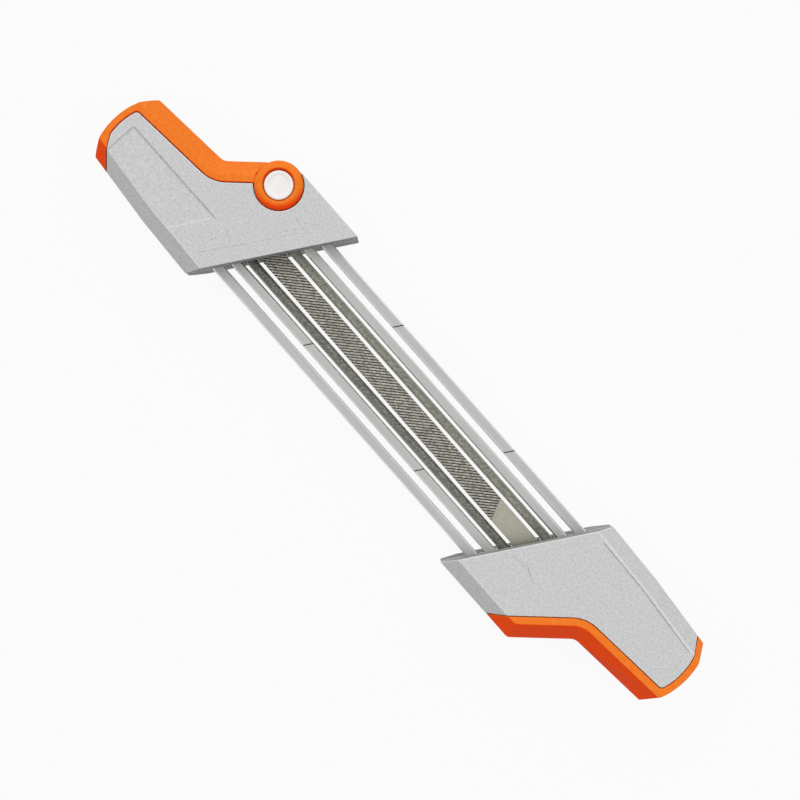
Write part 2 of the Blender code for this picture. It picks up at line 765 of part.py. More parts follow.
def make_fixed_top(parent, finish):
    places = case_screw_places().values()
    low = SPLIT_HEIGHT + GAP
    outside = loft(fixed_shell_levels(low, HANDLE_HEIGHT))
    shell = add_object("fixed_handle_top_shell", outside, finish, parent)
    cut(shell, tool_shape("fixed_top_cavity", loft(fixed_cavity_levels(low)), parent))
    roof = HANDLE_HEIGHT - WALL / 2
    ribs = []
    for side in (-1, 1):
        y_low, y_high = sorted((side * INNER_RAIL_EDGE, side * BARS_EDGE))
        end = PRESS_RIB_START + PRESS_RIB_LENGTH
        ribs.append(block(y_low, y_high, RAIL_TOP + GAP, roof, PRESS_RIB_START, end))
    join(shell, tool_shape("fixed_press_ribs", joined(ribs), parent))
    bosses = [cylinder(place, CASE_BOSS_RADIUS, low, roof) for place in places]
    join(shell, tool_shape("fixed_top_bosses", joined(bosses), parent))
    radius = CASE_SCREW_DIAMETER / 2 + GAP
    top = CASE_SCREW_SINK + CASE_SCREW_LENGTH + GAP
    holes = [cylinder(place, radius, 0, top) for place in places]
    cut(shell, tool_shape("fixed_pilot_holes", joined(holes), parent))
    return shell


def make_case_screws(parent, finish):
    head_top = CASE_SCREW_SINK + CASE_SCREW_HEAD_HEIGHT
    profile = [
        (CASE_SCREW_HEAD / 2, CASE_SCREW_SINK),
        (CASE_SCREW_HEAD / 2, head_top),
        (CASE_SCREW_DIAMETER / 2, head_top),
        (CASE_SCREW_DIAMETER / 2, CASE_SCREW_SINK + CASE_SCREW_LENGTH),
    ]
    for name, place in case_screw_places().items():
        screw = turned(profile, HOLE_STEPS, place)
        add_object("fixed_handle_screw_" + name, screw, finish, parent, smooth=True)


def make_grip_band(parent, finish):
    """The orange band: a hollow strip along the lower edge and a thin end."""
    plain_outline, chamfered = grip_band_outline(0.0), grip_band_outline(CHAMFER_WIDTH)
    levels = [
        (0, chamfered),
        (CHAMFER_DEPTH, plain_outline),
        (HANDLE_HEIGHT - CHAMFER_DEPTH, plain_outline),
        (HANDLE_HEIGHT, chamfered),
    ]
    band = add_object("fixed_grip_band", loft(levels), finish, parent)

    def hollow(inset):
        outer = Outline(foot=WALL + inset, slope=inset, belly=inset, end=END_BAND_WIDTH + WALL)
        deep = BAND_WIDTH + OVERRUN
        inner = Outline(foot=WALL + inset, slope=deep, belly=deep, end=END_BAND_WIDTH + WALL)
        return rounded(
            [(outer.shoulder, 0), outer.crook_corner(), (outer.belly_tip, 0)]
            + [(inner.belly_tip, 0), inner.crook_corner(), (inner.shoulder, 0)]
        )

    tight, wide = hollow(cavity_inset()), hollow(WALL)
    cavity = [
        (WALL, tight),
        (cavity_shoulder(), wide),
        (HANDLE_HEIGHT - cavity_shoulder(), wide),
        (HANDLE_HEIGHT - WALL, tight),
    ]
    cut(band, tool_shape("grip_band_cavity", loft(cavity), parent))
    return band


# Latch handle


def latch_cavity_levels(low):
    """The hollow inside the base, or inside the cover when low is not zero."""
    edge = cavity_inset()
    tight = latch_outline(foot=WALL, back=edge, face=WALL, wall=WALL)
    wide = latch_outline(foot=WALL, back=WALL, face=WALL, wall=WALL)
    if low == 0:
        return [(WALL, tight), (cavity_shoulder(), wide), (SPLIT_HEIGHT + OVERRUN, wide)]
    roof = HANDLE_HEIGHT - WALL
    return [(low - OVERRUN, wide), (HANDLE_HEIGHT - cavity_shoulder(), wide), (roof, tight)]


def make_latch_base(parent, slots, channels, finish):
    plain_outline, chamfered = latch_outline(), latch_outline(back=CHAMFER_WIDTH)
    levels = [(0, chamfered), (CHAMFER_DEPTH, plain_outline), (SPLIT_HEIGHT, plain_outline)]
    base = add_object("latch_handle_base", loft(levels), finish, parent)
    cut(base, tool_shape("latch_base_cavity", loft(latch_cavity_levels(0)), parent))
    join(base, cradles("latch_cradles", parent))
    socket = cylinder(grip_middle(), PEG_RADIUS + GAP + PEG_SOCKET_WALL, WALL / 2, SPLIT_HEIGHT - GAP)
    join(base, tool_shape("peg_socket_boss", socket, parent))
    cut(base, slots)
    cut(base, channels)
    cut(base, pin_holes("latch_pin_holes", parent))
    low = SPLIT_HEIGHT - PEG_LENGTH - GAP
    hole = cylinder(grip_middle(), PEG_RADIUS + GAP, low, SPLIT_HEIGHT + OVERRUN)
    cut(base, tool_shape("peg_socket", hole, parent))
    radius, low = CLAMP_SCREW_DIAMETER / 2 + GAP, clamp_screw_low() - GAP
    holes = [cylinder(clamp_place(side), radius, low, SPLIT_HEIGHT) for side in (-1, 1)]
    cut(base, tool_shape("clamp_screw_holes", joined(holes), parent))
    return base


def make_latch_cover(parent, finish):
    low = SPLIT_HEIGHT + GAP
    plain_outline, chamfered = latch_outline(), latch_outline(back=CHAMFER_WIDTH)
    levels = [
        (low, plain_outline),
        (HANDLE_HEIGHT - CHAMFER_DEPTH, plain_outline),
        (HANDLE_HEIGHT, chamfered),
    ]
    cover = add_object("latch_handle_cover", loft(levels), finish, parent)
    hollow = tool_shape("latch_cover_cavity", loft(latch_cavity_levels(low)), parent)
    floor_radius = PIVOT_MARGIN + GAP + WALL
    floor = cylinder(PIVOT, floor_radius, RING_FLOOR_LOW, HANDLE_HEIGHT + OVERRUN, ROUND_STEPS)
    cut(hollow, tool_shape("ring_floor", floor, parent))
    cut(cover, hollow)
    rib_low = FLAT_FILE_TOP + GAP + PAD_THICKNESS + GAP
    rib = block(-FLAT_EDGE, FLAT_EDGE, rib_low, HANDLE_HEIGHT - WALL / 2, PAD_START, PAD_START + PAD_LENGTH)
    join(cover, tool_shape("pad_rib", rib, parent))
    peg = cylinder(grip_middle(), PEG_RADIUS, SPLIT_HEIGHT - PEG_LENGTH, HANDLE_HEIGHT - WALL / 2)
    join(cover, tool_shape("cover_peg", peg, parent))
    pocket = cylinder(PIVOT, PIVOT_MARGIN + GAP, RING_FLOOR - GAP, HANDLE_HEIGHT + OVERRUN, ROUND_STEPS)
    cut(cover, tool_shape("ring_pocket", pocket, parent))
    bore = cylinder(PIVOT, PIVOT_SHANK_RADIUS + GAP, SPLIT_HEIGHT - OVERRUN, HANDLE_HEIGHT + OVERRUN)
    cut(cover, tool_shape("pivot_bore", bore, parent))
    return cover


def clamp_place(side):
    y = side * (WINDOW_EDGE + OUTER_RAIL_EDGE) / 2
    return (face_x(y) + CLAMP_SCREW_PLACE, y)


def clamp_screw_low():
    return RAIL_BOTTOM - CLAMP_SCREW_DEPTH


def plate_top():
    return RAIL_TOP + GAP + PLATE_THICKNESS


def make_clamp_plate(name, side, parent, finish):
    low, high = sorted((side * INNER_RAIL_EDGE, side * BARS_EDGE))
    end = BAR_GRIP - PLATE_END_MARGIN
    flat = block(low, high, RAIL_TOP + GAP, plate_top(), PLATE_START, end)
    plate = add_object(name, flat, finish, parent)
    radius = CLAMP_SCREW_DIAMETER / 2 + GAP
    hole = cylinder(clamp_place(side), radius, RAIL_TOP - OVERRUN, plate_top() + OVERRUN, PIN_STEPS)
    cut(plate, tool_shape(name + "_hole", hole, parent))
    return plate


def make_clamp_screw(name, side, parent, finish):
    under = plate_top() + GAP
    profile = [
        (CLAMP_SCREW_DIAMETER / 2, clamp_screw_low()),
        (CLAMP_SCREW_DIAMETER / 2, under),
        (CLAMP_SCREW_HEAD / 2, under),
        (CLAMP_SCREW_HEAD / 2, under + CLAMP_SCREW_HEAD_HEIGHT),
    ]
    return add_object(name, turned(profile, PIN_STEPS, clamp_place(side)), finish, parent, smooth=True)


def make_pressure_pad(parent, finish):
    """The pad under the cover, stepped to press the flat file and both round files."""
    reach = INNER_RAIL_EDGE - 2 * GAP
    flat, side_low = FLAT_FILE_TOP + GAP, ROUND_FILE_TOP + GAP
    step = FLAT_EDGE + GAP
    top = flat + PAD_THICKNESS
    section = [
        (-reach, side_low),
        (-step, side_low),
        (-step, flat),
        (step, flat),
        (step, side_low),
        (reach, side_low),
        (reach, top),
        (-reach, top),
    ]
    pad = slanted(section, PAD_START, PAD_START + PAD_LENGTH)
    return add_object("file_pressure_pad", pad, finish, parent)


def make_pivot(parent, pin_finish, steel):
    """The white-headed pin, and the washer and clip that hold it under the cover."""
    head_low = RING_FLOOR + HUB_THICKNESS + GAP
    head_radius = RING_BORE_RADIUS - GAP
    dish = HANDLE_HEIGHT - PIVOT_DISH + RING_PROUD / 2
    rim = HANDLE_HEIGHT + PIVOT_RIM_PROUD
    profile = [
        (PIVOT_SHANK_RADIUS, PIN_LOW),
        (PIVOT_SHANK_RADIUS, head_low),
        (head_radius, head_low),
        (head_radius, rim - PIVOT_RIM_WIDTH / 4),
        (head_radius - PIVOT_RIM_WIDTH / 4, rim),
        (head_radius - PIVOT_RIM_WIDTH, rim),
        (head_radius - PIVOT_RIM_WIDTH - PIVOT_DISH / 2, dish),
    ]
    pin = add_object("pivot_pin", turned(profile), pin_finish, parent, smooth=True)
    bore = PIVOT_SHANK_RADIUS + GAP
    washer = [
        (bore, WASHER_LOW),
        (WASHER_RADIUS, WASHER_LOW),
        (WASHER_RADIUS, WASHER_LOW + WASHER_THICKNESS),
        (bore, WASHER_LOW + WASHER_THICKNESS),
    ]
    add_object("pivot_washer", tube(washer, HOLE_STEPS), steel, parent, smooth=True)
    clip = [
        (bore, CLIP_LOW),
        (CLIP_RADIUS, CLIP_LOW),
        (CLIP_RADIUS, CLIP_LOW + CLIP_THICKNESS),
        (bore, CLIP_LOW + CLIP_THICKNESS),
    ]
    add_object("pivot_retaining_clip", tube(clip, HOLE_STEPS), steel, parent, smooth=True)
    return pin


def at_pivot(mesh):
    """Moves a mesh drawn in the handle's frame so that the pivot is its origin."""
    bmesh.ops.transform(mesh, matrix=Matrix.Translation((-PIVOT.x, -PIVOT.y, 0)), verts=mesh.verts)
    return mesh


def lever_cavity():
    """The hollow inside the lever's arm, open towards the handle."""

    def hollow(inset):
        outer = Outline(slope=inset, belly=inset, end=END_BAND_WIDTH + WALL)
        deep = BAND_WIDTH + OVERRUN
        inner = Outline(slope=deep, belly=deep, end=END_BAND_WIDTH + WALL)
        starts = []
        for line in (outer, inner):
            point, direction = line.lines["slope"]
            along = (PIVOT - point).dot(direction) + LEVER_CAVITY_START
            starts.append((point + direction * along, 0))
        return rounded(
            [starts[0], outer.crook_corner(), (outer.belly_tip, 0)]
            + [(inner.belly_tip, 0), inner.crook_corner(), starts[1]]
        )

    tight, wide = hollow(cavity_inset()), hollow(WALL)
    return loft(
        [
            (WALL, tight),
            (cavity_shoulder(), wide),
            (HANDLE_HEIGHT - cavity_shoulder(), wide),
            (HANDLE_HEIGHT - WALL, tight),
        ]
    )


def ring_profile():
    """The ring's section, rounded at its crown like a tyre."""
    hub_top = RING_FLOOR + HUB_THICKNESS
    crown = (RING_RADIUS + RING_BORE_RADIUS) / 2
    bore = PIVOT_SHANK_RADIUS + GAP
    shoulder = RING_ROUND * RING_SHOULDER_SHARE
    return [
        (bore, RING_FLOOR),
        (RING_RADIUS, RING_FLOOR),
        (RING_RADIUS, RING_TOP - RING_ROUND),
        (RING_RADIUS - shoulder, RING_TOP - shoulder),
        (crown, RING_TOP),
        (RING_BORE_RADIUS + shoulder, RING_TOP - shoulder),
        (RING_BORE_RADIUS, RING_TOP - RING_ROUND),
        (RING_BORE_RADIUS, hub_top),
        (bore, hub_top),
    ]


def lever_levels():
    """The arm's outlines, with steps up the chamfers that keep its root clear of the handle."""
    lower, upper = [], []
    for step in range(CHAMFER_STEPS + 1):
        share = step / CHAMFER_STEPS
        outline = lever_outline(CHAMFER_WIDTH * (1 - share))
        lower.append((LEVER_FOOT + (CHAMFER_DEPTH - LEVER_FOOT) * share, outline))
        upper.append((HANDLE_HEIGHT - CHAMFER_DEPTH * share, outline))
    return lower + upper[::-1]


def make_lever(parent, finish):
    lever = add_object("latch_lever", at_pivot(loft(lever_levels())), finish, parent)
    cut(lever, tool_shape("lever_cavity", at_pivot(lever_cavity()), parent))
    ring = tube(ring_profile())
    join(lever, tool_shape("lever_ring", ring, parent))
    join(lever, tool_shape("lever_neck", at_pivot(lever_neck()), parent))
    return lever


def lever_neck():
    """The bridge between the ring and the arm, above the handle's round shoulder."""
    inner = Outline(slope=BAND_WIDTH)
    outer = Outline(slope=CHAMFER_WIDTH)
    inner_radius = PIVOT_MARGIN - NECK_OVERLAP
    outer_radius = PIVOT_MARGIN + NECK_OVERLAP
    corners = []
    ways = ((outer, inner_radius), (outer, outer_radius), (inner, outer_radius), (inner, inner_radius))
    for line, radius in ways:
        corners.append(meet_circle(line.lines["slope"], PIVOT, radius))
    return prism(corners, RING_FLOOR + GAP, HANDLE_HEIGHT - GAP)


def main():
    for old in list(bpy.data.objects):
        bpy.data.objects.remove(old)

    grey = material("grey_moulded_plastic", (0.60, 0.60, 0.61), 0.55)
    orange = material("orange_moulded_plastic", (0.90, 0.22, 0.02), 0.45)
    white = material("white_acetal", (0.88, 0.86, 0.84), 0.35)
    black = material("black_nylon", (0.03, 0.03, 0.03), 0.6)
    rubber = material("black_rubber", (0.02, 0.02, 0.02), 0.8)
    rail_steel = material("satin_rail_steel", (0.55, 0.55, 0.55), 0.35, 1.0)
    file_steel = material("cut_file_steel", (0.16, 0.15, 0.13), 0.45, 1.0)
    bright = material("zinc_plated_steel", (0.65, 0.65, 0.66), 0.3, 1.0)

    for name, middle, width, marked in (
        ("left_outer_guide_rail", OUTER_RAIL_MIDDLE, OUTER_RAIL_WIDTH, True),
        ("left_inner_guide_rail", INNER_RAIL_MIDDLE, INNER_RAIL_WIDTH, False),
        ("right_inner_guide_rail", -INNER_RAIL_MIDDLE, INNER_RAIL_WIDTH, True),
        ("right_outer_guide_rail", -OUTER_RAIL_MIDDLE, OUTER_RAIL_WIDTH, False),
    ):
        make_rail(name, middle, width, rail_steel, marked)
    make_round_file("left_round_file", ROUND_MIDDLE, file_steel)
    make_round_file("right_round_file", -ROUND_MIDDLE, file_steel)
    make_flat_file(file_steel)

    fixed_end = carrier("fixed_end")
    slots = rail_slots("fixed_rail_slots", fixed_end)
    channels = file_slots("fixed_file_channels", fixed_end)
    make_fixed_bottom(fixed_end, slots, channels, grey)
    make_fixed_top(fixed_end, grey)
    make_grip_band(fixed_end, orange)
    make_case_screws(fixed_end, bright)
    make_file_seat("fixed_file_seat", fixed_end, channels, black)
    fixed_pins = {
        "plus_inner": "fixed_pin_left_inner",
        "plus_outer": "fixed_pin_left_outer",
        "minus_inner": "fixed_pin_right_inner",
        "minus_outer": "fixed_pin_right_outer",
    }
    make_rail_pins(fixed_pins, fixed_end, bright)

    latch_end = carrier("latch_end", turn=math.pi)
    slots = rail_slots("latch_rail_slots", latch_end)
    channels = file_slots("latch_file_channels", latch_end)
    make_latch_base(latch_end, slots, channels, grey)
    make_latch_cover(latch_end, grey)
    make_file_seat("latch_file_seat", latch_end, channels, black)
    latch_pins = {
        "plus_inner": "latch_pin_right_inner",
        "plus_outer": "latch_pin_right_outer",
        "minus_inner": "latch_pin_left_inner",
        "minus_outer": "latch_pin_left_outer",
    }
    make_rail_pins(latch_pins, latch_end, bright)
    for side, name in ((-1, "left"), (1, "right")):
        make_clamp_plate("latch_rail_clamp_" + name, side, latch_end, bright)
        make_clamp_screw("latch_clamp_screw_" + name, side, latch_end, bright)
    make_pressure_pad(latch_end, rubber)
    pivot = carrier("latch_pivot", latch_end, (PIVOT.x, PIVOT.y, 0))
    make_pivot(pivot, white, bright)
    make_lever(pivot, orange)


main()
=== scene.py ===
"""Looks of a two-in-one filing guide for saw chains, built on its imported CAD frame.

Lengths are in metres, in the frame of the CAD model: X runs from the latch handle
to the fixed handle, Y across the files, Z up from the underside of the handles.
"""

import logging
import math
from dataclasses import dataclass
from enum import Enum
from typing import Callable, Iterable, Sequence

import bmesh
import bpy
from mathutils import Matrix, Vector, geometry
from mathutils.bvhtree import BVHTree


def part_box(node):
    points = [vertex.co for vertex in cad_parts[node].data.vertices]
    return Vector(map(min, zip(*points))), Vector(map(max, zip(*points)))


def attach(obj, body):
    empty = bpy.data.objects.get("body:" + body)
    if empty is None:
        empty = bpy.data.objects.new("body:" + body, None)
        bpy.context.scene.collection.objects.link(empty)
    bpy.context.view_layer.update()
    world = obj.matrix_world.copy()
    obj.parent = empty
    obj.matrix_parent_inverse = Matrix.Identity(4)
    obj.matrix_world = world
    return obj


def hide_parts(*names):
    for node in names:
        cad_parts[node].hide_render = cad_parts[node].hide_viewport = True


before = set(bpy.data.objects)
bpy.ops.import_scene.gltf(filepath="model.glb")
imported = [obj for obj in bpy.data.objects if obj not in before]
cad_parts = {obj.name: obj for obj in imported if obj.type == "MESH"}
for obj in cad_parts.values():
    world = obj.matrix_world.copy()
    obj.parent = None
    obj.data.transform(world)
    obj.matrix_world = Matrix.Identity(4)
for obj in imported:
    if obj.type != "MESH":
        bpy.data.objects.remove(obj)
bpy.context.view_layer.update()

MM = 0.001
WELD = 0.002 * MM
# Faces that turn by less than the first are one flat face; by more than the second, they fold in its plane
FLAT_ANGLE = math.radians(0.4)
FOLD_ANGLE = math.radians(179.0)
# Edges that turn by more than the first and less than the second are rounded
EDGE_ANGLE = math.radians(24.0)
BLADE_ANGLE = math.radians(130.0)
# Edges that turn by less than this are shaded smoothly
SHARP_ANGLE = math.radians(30.0)
# Cosine to the old surface below which a rounded face counts as turned over
TURNED_OVER = -0.2
SOFTEN_TRIES = 3
TURNED_FACETS = 96
# Cosine of half the sharpest turn that a strip still follows at full width
SHARPEST_MITRE = 0.5
# Share of a direction along an axis above which it counts as lying along that axis
ALONG = 0.9
# Most of a noise's values lie between these two
NOISE_SPAN = (0.32, 0.68)
LOG = logging.getLogger("filing_guide")

Point = tuple[float, float]
Triple = tuple[float, float, float]
EditMesh = bmesh.types.BMesh
Edge = bmesh.types.BMEdge
Face = bmesh.types.BMFace
Node = bpy.types.Node
Socket = bpy.types.NodeSocket


class Body(Enum):
    """The CAD bodies that a piece can ride on."""

    FRAME = "frame"
    COVER = "latch_cover"
    LEVER = "latch_lever"


class Slot(Enum):
    """The record's material slots."""

    GREY = "grey_plastic"
    ORANGE = "orange_plastic"
    WHITE = "white_plastic"
    NYLON = "black_nylon"
    RUBBER = "black_rubber"
    RAIL = "rail_steel"
    FILE = "file_steel"
    PLATED = "plated_steel"


# Nodes and finishes


def linear(code: str) -> tuple[float, float, float, float]:
    """Turns an sRGB hex colour into a linear, opaque one.

    Args:
        code: Six hex digits after a hash.

    Returns:
        Linear red, green, blue and alpha.
    """
    shares = [int(code[start : start + 2], 16) / 255 for start in (1, 3, 5)]
    red, green, blue = (s / 12.92 if s <= 0.04045 else ((s + 0.055) / 1.055) ** 2.4 for s in shares)
    return red, green, blue, 1.0


WHITE = linear("#FFFFFF")


def add_node(tree: bpy.types.NodeTree, kind: str, inputs: dict | None = None, **settings: object) -> Node:
    """Adds a node, sets it up and links it.

    Args:
        tree: The shader or geometry tree.
        kind: The node's type name.
        inputs: A socket or a list of sockets to link from, or a value to set, by input name or number.
        settings: The node's own properties.

    Returns:
        The new node.
    """
    node = tree.nodes.new(kind)
    for name, value in settings.items():
        setattr(node, name, value)
    for key, value in (inputs or {}).items():
        for source in value if isinstance(value, list) else [value]:
            if isinstance(source, Socket):
                tree.links.new(source, node.inputs[key])
            else:
                node.inputs[key].default_value = source
    return node


class TreeWork:
    """Work on one node tree."""

    def __init__(self, tree: bpy.types.NodeTree) -> None:
        """Takes the tree."""
        self.tree = tree

    def add(self, kind: str, inputs: dict | None = None, output: int | str = 0, **settings: object) -> Socket:
        """Adds a node, as add_node does, and gives one of its outputs."""
        return add_node(self.tree, kind, inputs, **settings).outputs[output]

    def calc(self, operation: str, first: Socket | float, second: Socket | float = 0.0) -> Socket:
        """The result of one Math node."""
        return self.add("ShaderNodeMath", {0: first, 1: second}, operation=operation)


def seen_share(work: TreeWork) -> Socket:
    """Picks out what is seen, straight or in a reflection, from what only gives light.

    Args:
        work: The floor's or the world's tree.

    Returns:
        1 for camera, glossy and transmission rays.
    """
    path = add_node(work.tree, "ShaderNodeLightPath").outputs
    seen = work.calc("MAXIMUM", path["Is Camera Ray"], path["Is Glossy Ray"])
    return work.calc("MAXIMUM", seen, path["Is Transmission Ray"])


class Shading(TreeWork):
    """The nodes of one material while its finish is made."""

    def __init__(self, material: bpy.types.Material) -> None:
        """Finds the material's tree and its shader."""
        super().__init__(material.node_tree)
        self.shader = self.tree.nodes["Principled BSDF"]

    def drive(self, name: str, socket: Socket) -> None:
        """Links a socket to one of the shader's inputs."""
        self.tree.links.new(socket, self.shader.inputs[name])

    def noise(self, size: Sequence[float], detail: float = 2.0, angle: float = 0.0) -> Socket:
        """A cloudy pattern on Object coordinates.

        Args:
            size: Length of one feature along X, Y and Z.
            detail: Octaves of finer noise.
            angle: How far the features are turned about Z.

        Returns:
            The pattern, from 0 to 1.
        """
        place = self.add("ShaderNodeTexCoord", output="Object")
        features = {"Vector": place, "Rotation": (0.0, 0.0, angle), "Scale": tuple(size)}
        along = self.add("ShaderNodeMapping", features, vector_type="TEXTURE")
        return self.add("ShaderNodeTexNoise", {"Vector": along, "Scale": 1.0, "Detail": detail}, "Fac")

    def share(self, value: Socket, low: float, high: float, most: float = 1.0) -> Socket:
        """Spreads a value between two bounds over a share, from 0 to the most that it gives."""
        return self.add("ShaderNodeMapRange", {"Value": value, "From Min": low, "From Max": high, "To Max": most})

    def tint(self, factor: Socket, dark: str, light: str, span: Point = NOISE_SPAN) -> None:
        """Runs the base colour between two tones.

        Args:
            factor: The pattern, from 0 to 1.
            dark: Colour where the pattern is low.
            light: Colour where it is high.
            span: The pattern's values at which the tones are reached.
        """
        ramp = add_node(self.tree, "ShaderNodeValToRGB", {"Fac": factor})
        for stop, place, code in zip(ramp.color_ramp.elements, span, (dark, light)):
            stop.position, stop.color = place, linear(code)
        self.drive("Base Color", ramp.outputs["Color"])

    def relief(self, height: Socket, depth: float) -> None:
        """Bumps the surface by a pattern from 0 to 1, as deep as is given."""
        bump = self.add("ShaderNodeBump", {"Height": height, "Distance": depth, "Strength": 1.0}, "Normal")
        self.drive("Normal", bump)

    def vary_roughness(self, factor: Socket, spread: float) -> None:
        """Makes the gloss uneven.

        Args:
            factor: The pattern, from 0 to 1.
            spread: How far the roughness goes either way.
        """
        middle = self.shader.inputs["Roughness"].default_value
        span = {"Value": factor, "To Min": middle - spread, "To Max": middle + spread}
        self.drive("Roughness", self.add("ShaderNodeMapRange", span))


@dataclass(frozen=True)
class Finish:
    """What every finish shares: its name, its colour and how it takes the light."""

    name: str
    colour: str
    roughness: float
    metallic: float = 0.0
    ior: float = 1.5

    def make(self) -> bpy.types.Material:
        """Builds the material the first time, and finds it again after that.

        Returns:
            The material.
        """
        found = bpy.data.materials.get(self.name)
        if found:
            return found
        material = bpy.data.materials.new(self.name)
        material.use_nodes = True
        material.diffuse_color = linear(self.colour)
        shading = Shading(material)
        values = (linear(self.colour), self.roughness, self.metallic, self.ior)
        for name, value in zip(("Base Color", "Roughness", "Metallic", "IOR"), values):
            shading.shader.inputs[name].default_value = value
        self.pattern(shading)
        return material

    def pattern(self, shading: Shading) -> None:
        """Adds the finish's own nodes. Each finish has its own."""


@dataclass(frozen=True)
class MouldedNylon(Finish):
    """Nylon, injection moulded in a spark-eroded tool."""

    # The eye gets an even matt surface with a faint cloudy mottle from the flow of the melt
    uneven: float = 0.05
    dark: str = "#C1C1C2"
    light: str = "#D5D5D6"
    cloud: float = 0.9 * MM
    # The real grain is about 0.15 mm and is drawn coarser so that it shows
    grain: float = 0.45 * MM
    grain_depth: float = 0.022 * MM

    def pattern(self, shading: Shading) -> None:
        """Adds the mottle and the grain."""
        shading.tint(shading.noise((self.cloud,) * 3, detail=3.0), self.dark, self.light)
        grain = shading.noise((self.grain,) * 3, detail=1.0)
        shading.relief(grain, self.grain_depth)
        shading.vary_roughness(grain, self.uneven)


@dataclass(frozen=True)
class PaintedShadeNylon(MouldedNylon):
    """Coloured nylon, with painted shade on the faces turned away from the light."""

    # Painted shade: a redder, deeper orange on the faces turned away from the light
    shade_colour: str = "#FF4E04"
    away: Triple = (0.749, -0.662, 0.0)
    # Cosines between a normal and that way at which the painted shade starts and is full
    shade_from: float = 0.03
    shade_full_at: float = 0.42

    def pattern(self, shading: Shading) -> None:
        """Adds the painted shade to the mottle."""
        super().pattern(shading)
        plain = shading.shader.inputs["Base Color"].links[0].from_socket
        normal = shading.add("ShaderNodeTexCoord", output="Normal")
        facing = shading.add("ShaderNodeVectorMath", {0: normal, 1: self.away}, "Value", operation="DOT_PRODUCT")
        share = shading.share(facing, self.shade_from, self.shade_full_at)
        mixed = shading.add("ShaderNodeMix", {0: share, 6: plain, 7: linear(self.shade_colour)}, 2, data_type="RGBA")
        shading.drive("Base Color", mixed)


@dataclass(frozen=True)
class DrawnSteel(Finish):
    """Bright steel bar, cold drawn and then brushed lengthways."""

    # The eye gets a soft satin grey with long fine streaks along the bar
    uneven: float = 0.06
    dark: str = "#BABAB9"
    light: str = "#C6C6C5"
    streak: float = 0.45 * MM
    streak_length: float = 26.0 * MM
    streak_depth: float = 0.006 * MM

    def pattern(self, shading: Shading) -> None:
        """Adds the streaks."""
        streaks = shading.noise((self.streak_length, self.streak, self.streak), detail=3.0)
        shading.tint(streaks, self.dark, self.light)
        shading.relief(streaks, self.streak_depth)
        shading.vary_roughness(streaks, self.uneven)


@dataclass(frozen=True)
class CutFileSteel(Finish):
    """Hardened carbon steel, cut with teeth and left with its oiled grey skin."""

    # The eye gets a warm grey, uneven where oil and filings lie between the teeth
    uneven: float = 0.1
    dark: str = "#88857E"
    light: str = "#C9C5BB"
    stain: float = 1.0 * MM
    skin: float = 0.4 * MM

    def pattern(self, shading: Shading) -> None:
        """Adds the stains and the uneven skin."""
        stains = shading.noise((self.stain, self.skin * 2, self.skin * 2), detail=4.0)
        shading.tint(stains, self.dark, self.light)
        shading.vary_roughness(shading.noise((self.skin,) * 3), self.uneven)


@dataclass(frozen=True)
class SpiralCutSteel(CutFileSteel):
    """File steel of a round file, with painted shade beside the flat file and painted light on its flanks."""

    # The eye gets slanting streaks, flanks lightened by painted light and a dark strip of painted shade beside the
    # flat file
    axis: float = 0.0
    roughness: float = 0.6
    metallic: float = 0.75
    radius: float = 2.0 * MM
    # In shares of the radius: where the painted shade strip is darkest and ends, and where the painted light on a
    # flank starts and is brightest
    shade_strip: Point = (-1.0, -0.7)
    lit_flank: Point = (0.15, 0.75)
    # The turning cut gives streaks, as long, wide and deep as this and at this angle to the file
    streak: Triple = (1.9 * MM, 0.6 * MM, 0.6 * MM)
    streak_angle: float = math.radians(35.0)
    streak_span: Point = (0.42, 0.58)
    # How much of the tone comes from the painted shade strip, the painted light on the flanks and the streaks
    shares: Triple = (0.3, 0.4, 0.3)

    def pattern(self, shading: Shading) -> None:
        """Adds the painted shade strip, the painted light on the flanks and the streaks."""
        place = shading.add("ShaderNodeTexCoord", output="Object")
        aside = shading.calc("SUBTRACT", shading.add("ShaderNodeSeparateXYZ", {0: place}, "Y"), self.axis)
        away = shading.calc("ABSOLUTE", aside)
        streaks = shading.noise(self.streak, detail=3.0, angle=self.streak_angle)
        outward = math.copysign(self.radius, self.axis)
        shade_strip_span = [outward * share for share in self.shade_strip]
        lit_flank_span = [self.radius * share for share in self.lit_flank]
        parts = zip((aside, away, streaks), (shade_strip_span, lit_flank_span, self.streak_span), self.shares)
        strip_shade, bright, cut = (shading.share(value, *span, most) for value, span, most in parts)
        tone = shading.calc("ADD", shading.calc("ADD", strip_shade, bright), cut)
        shading.tint(tone, self.dark, self.light, (0.0, 1.0))
        shading.vary_roughness(shading.noise((self.skin,) * 3), self.uneven)


@dataclass(frozen=True)
class PlatedSteel(Finish):
    """Mild steel with a bright zinc plating, barrelled."""

    # The eye gets a pale, slightly cloudy metal
    uneven: float = 0.07
    dark: str = "#9A9C9E"
    light: str = "#B4B6B8"
    cloud: float = 1.2 * MM

    def pattern(self, shading: Shading) -> None:
        """Adds the clouds."""
        clouds = shading.noise((self.cloud,) * 3)
        shading.tint(clouds, self.dark, self.light)
        shading.vary_roughness(clouds, self.uneven)


@dataclass(frozen=True)
class StudioPaper(Finish):
    """Matt white paper, rolled out under the object."""

    # The eye gets plain white, with the object's soft shadow on it
    glow: float = 0.93

    def pattern(self, shading: Shading) -> None:
        """Mixes in plain white for what the camera and reflections see of it."""
        share = shading.calc("MULTIPLY", seen_share(shading), self.glow)
        white = shading.add("ShaderNodeEmission", {"Color": WHITE, "Strength": 1.0})
        mixed = shading.add("ShaderNodeMixShader", {0: share, 1: shading.shader.outputs[0], 2: white})
        shading.tree.links.new(mixed, shading.tree.nodes["Material Output"].inputs["Surface"])


GREY_NYLON = MouldedNylon("silver_grey_moulded_nylon", "#C8C8C8", 0.56)
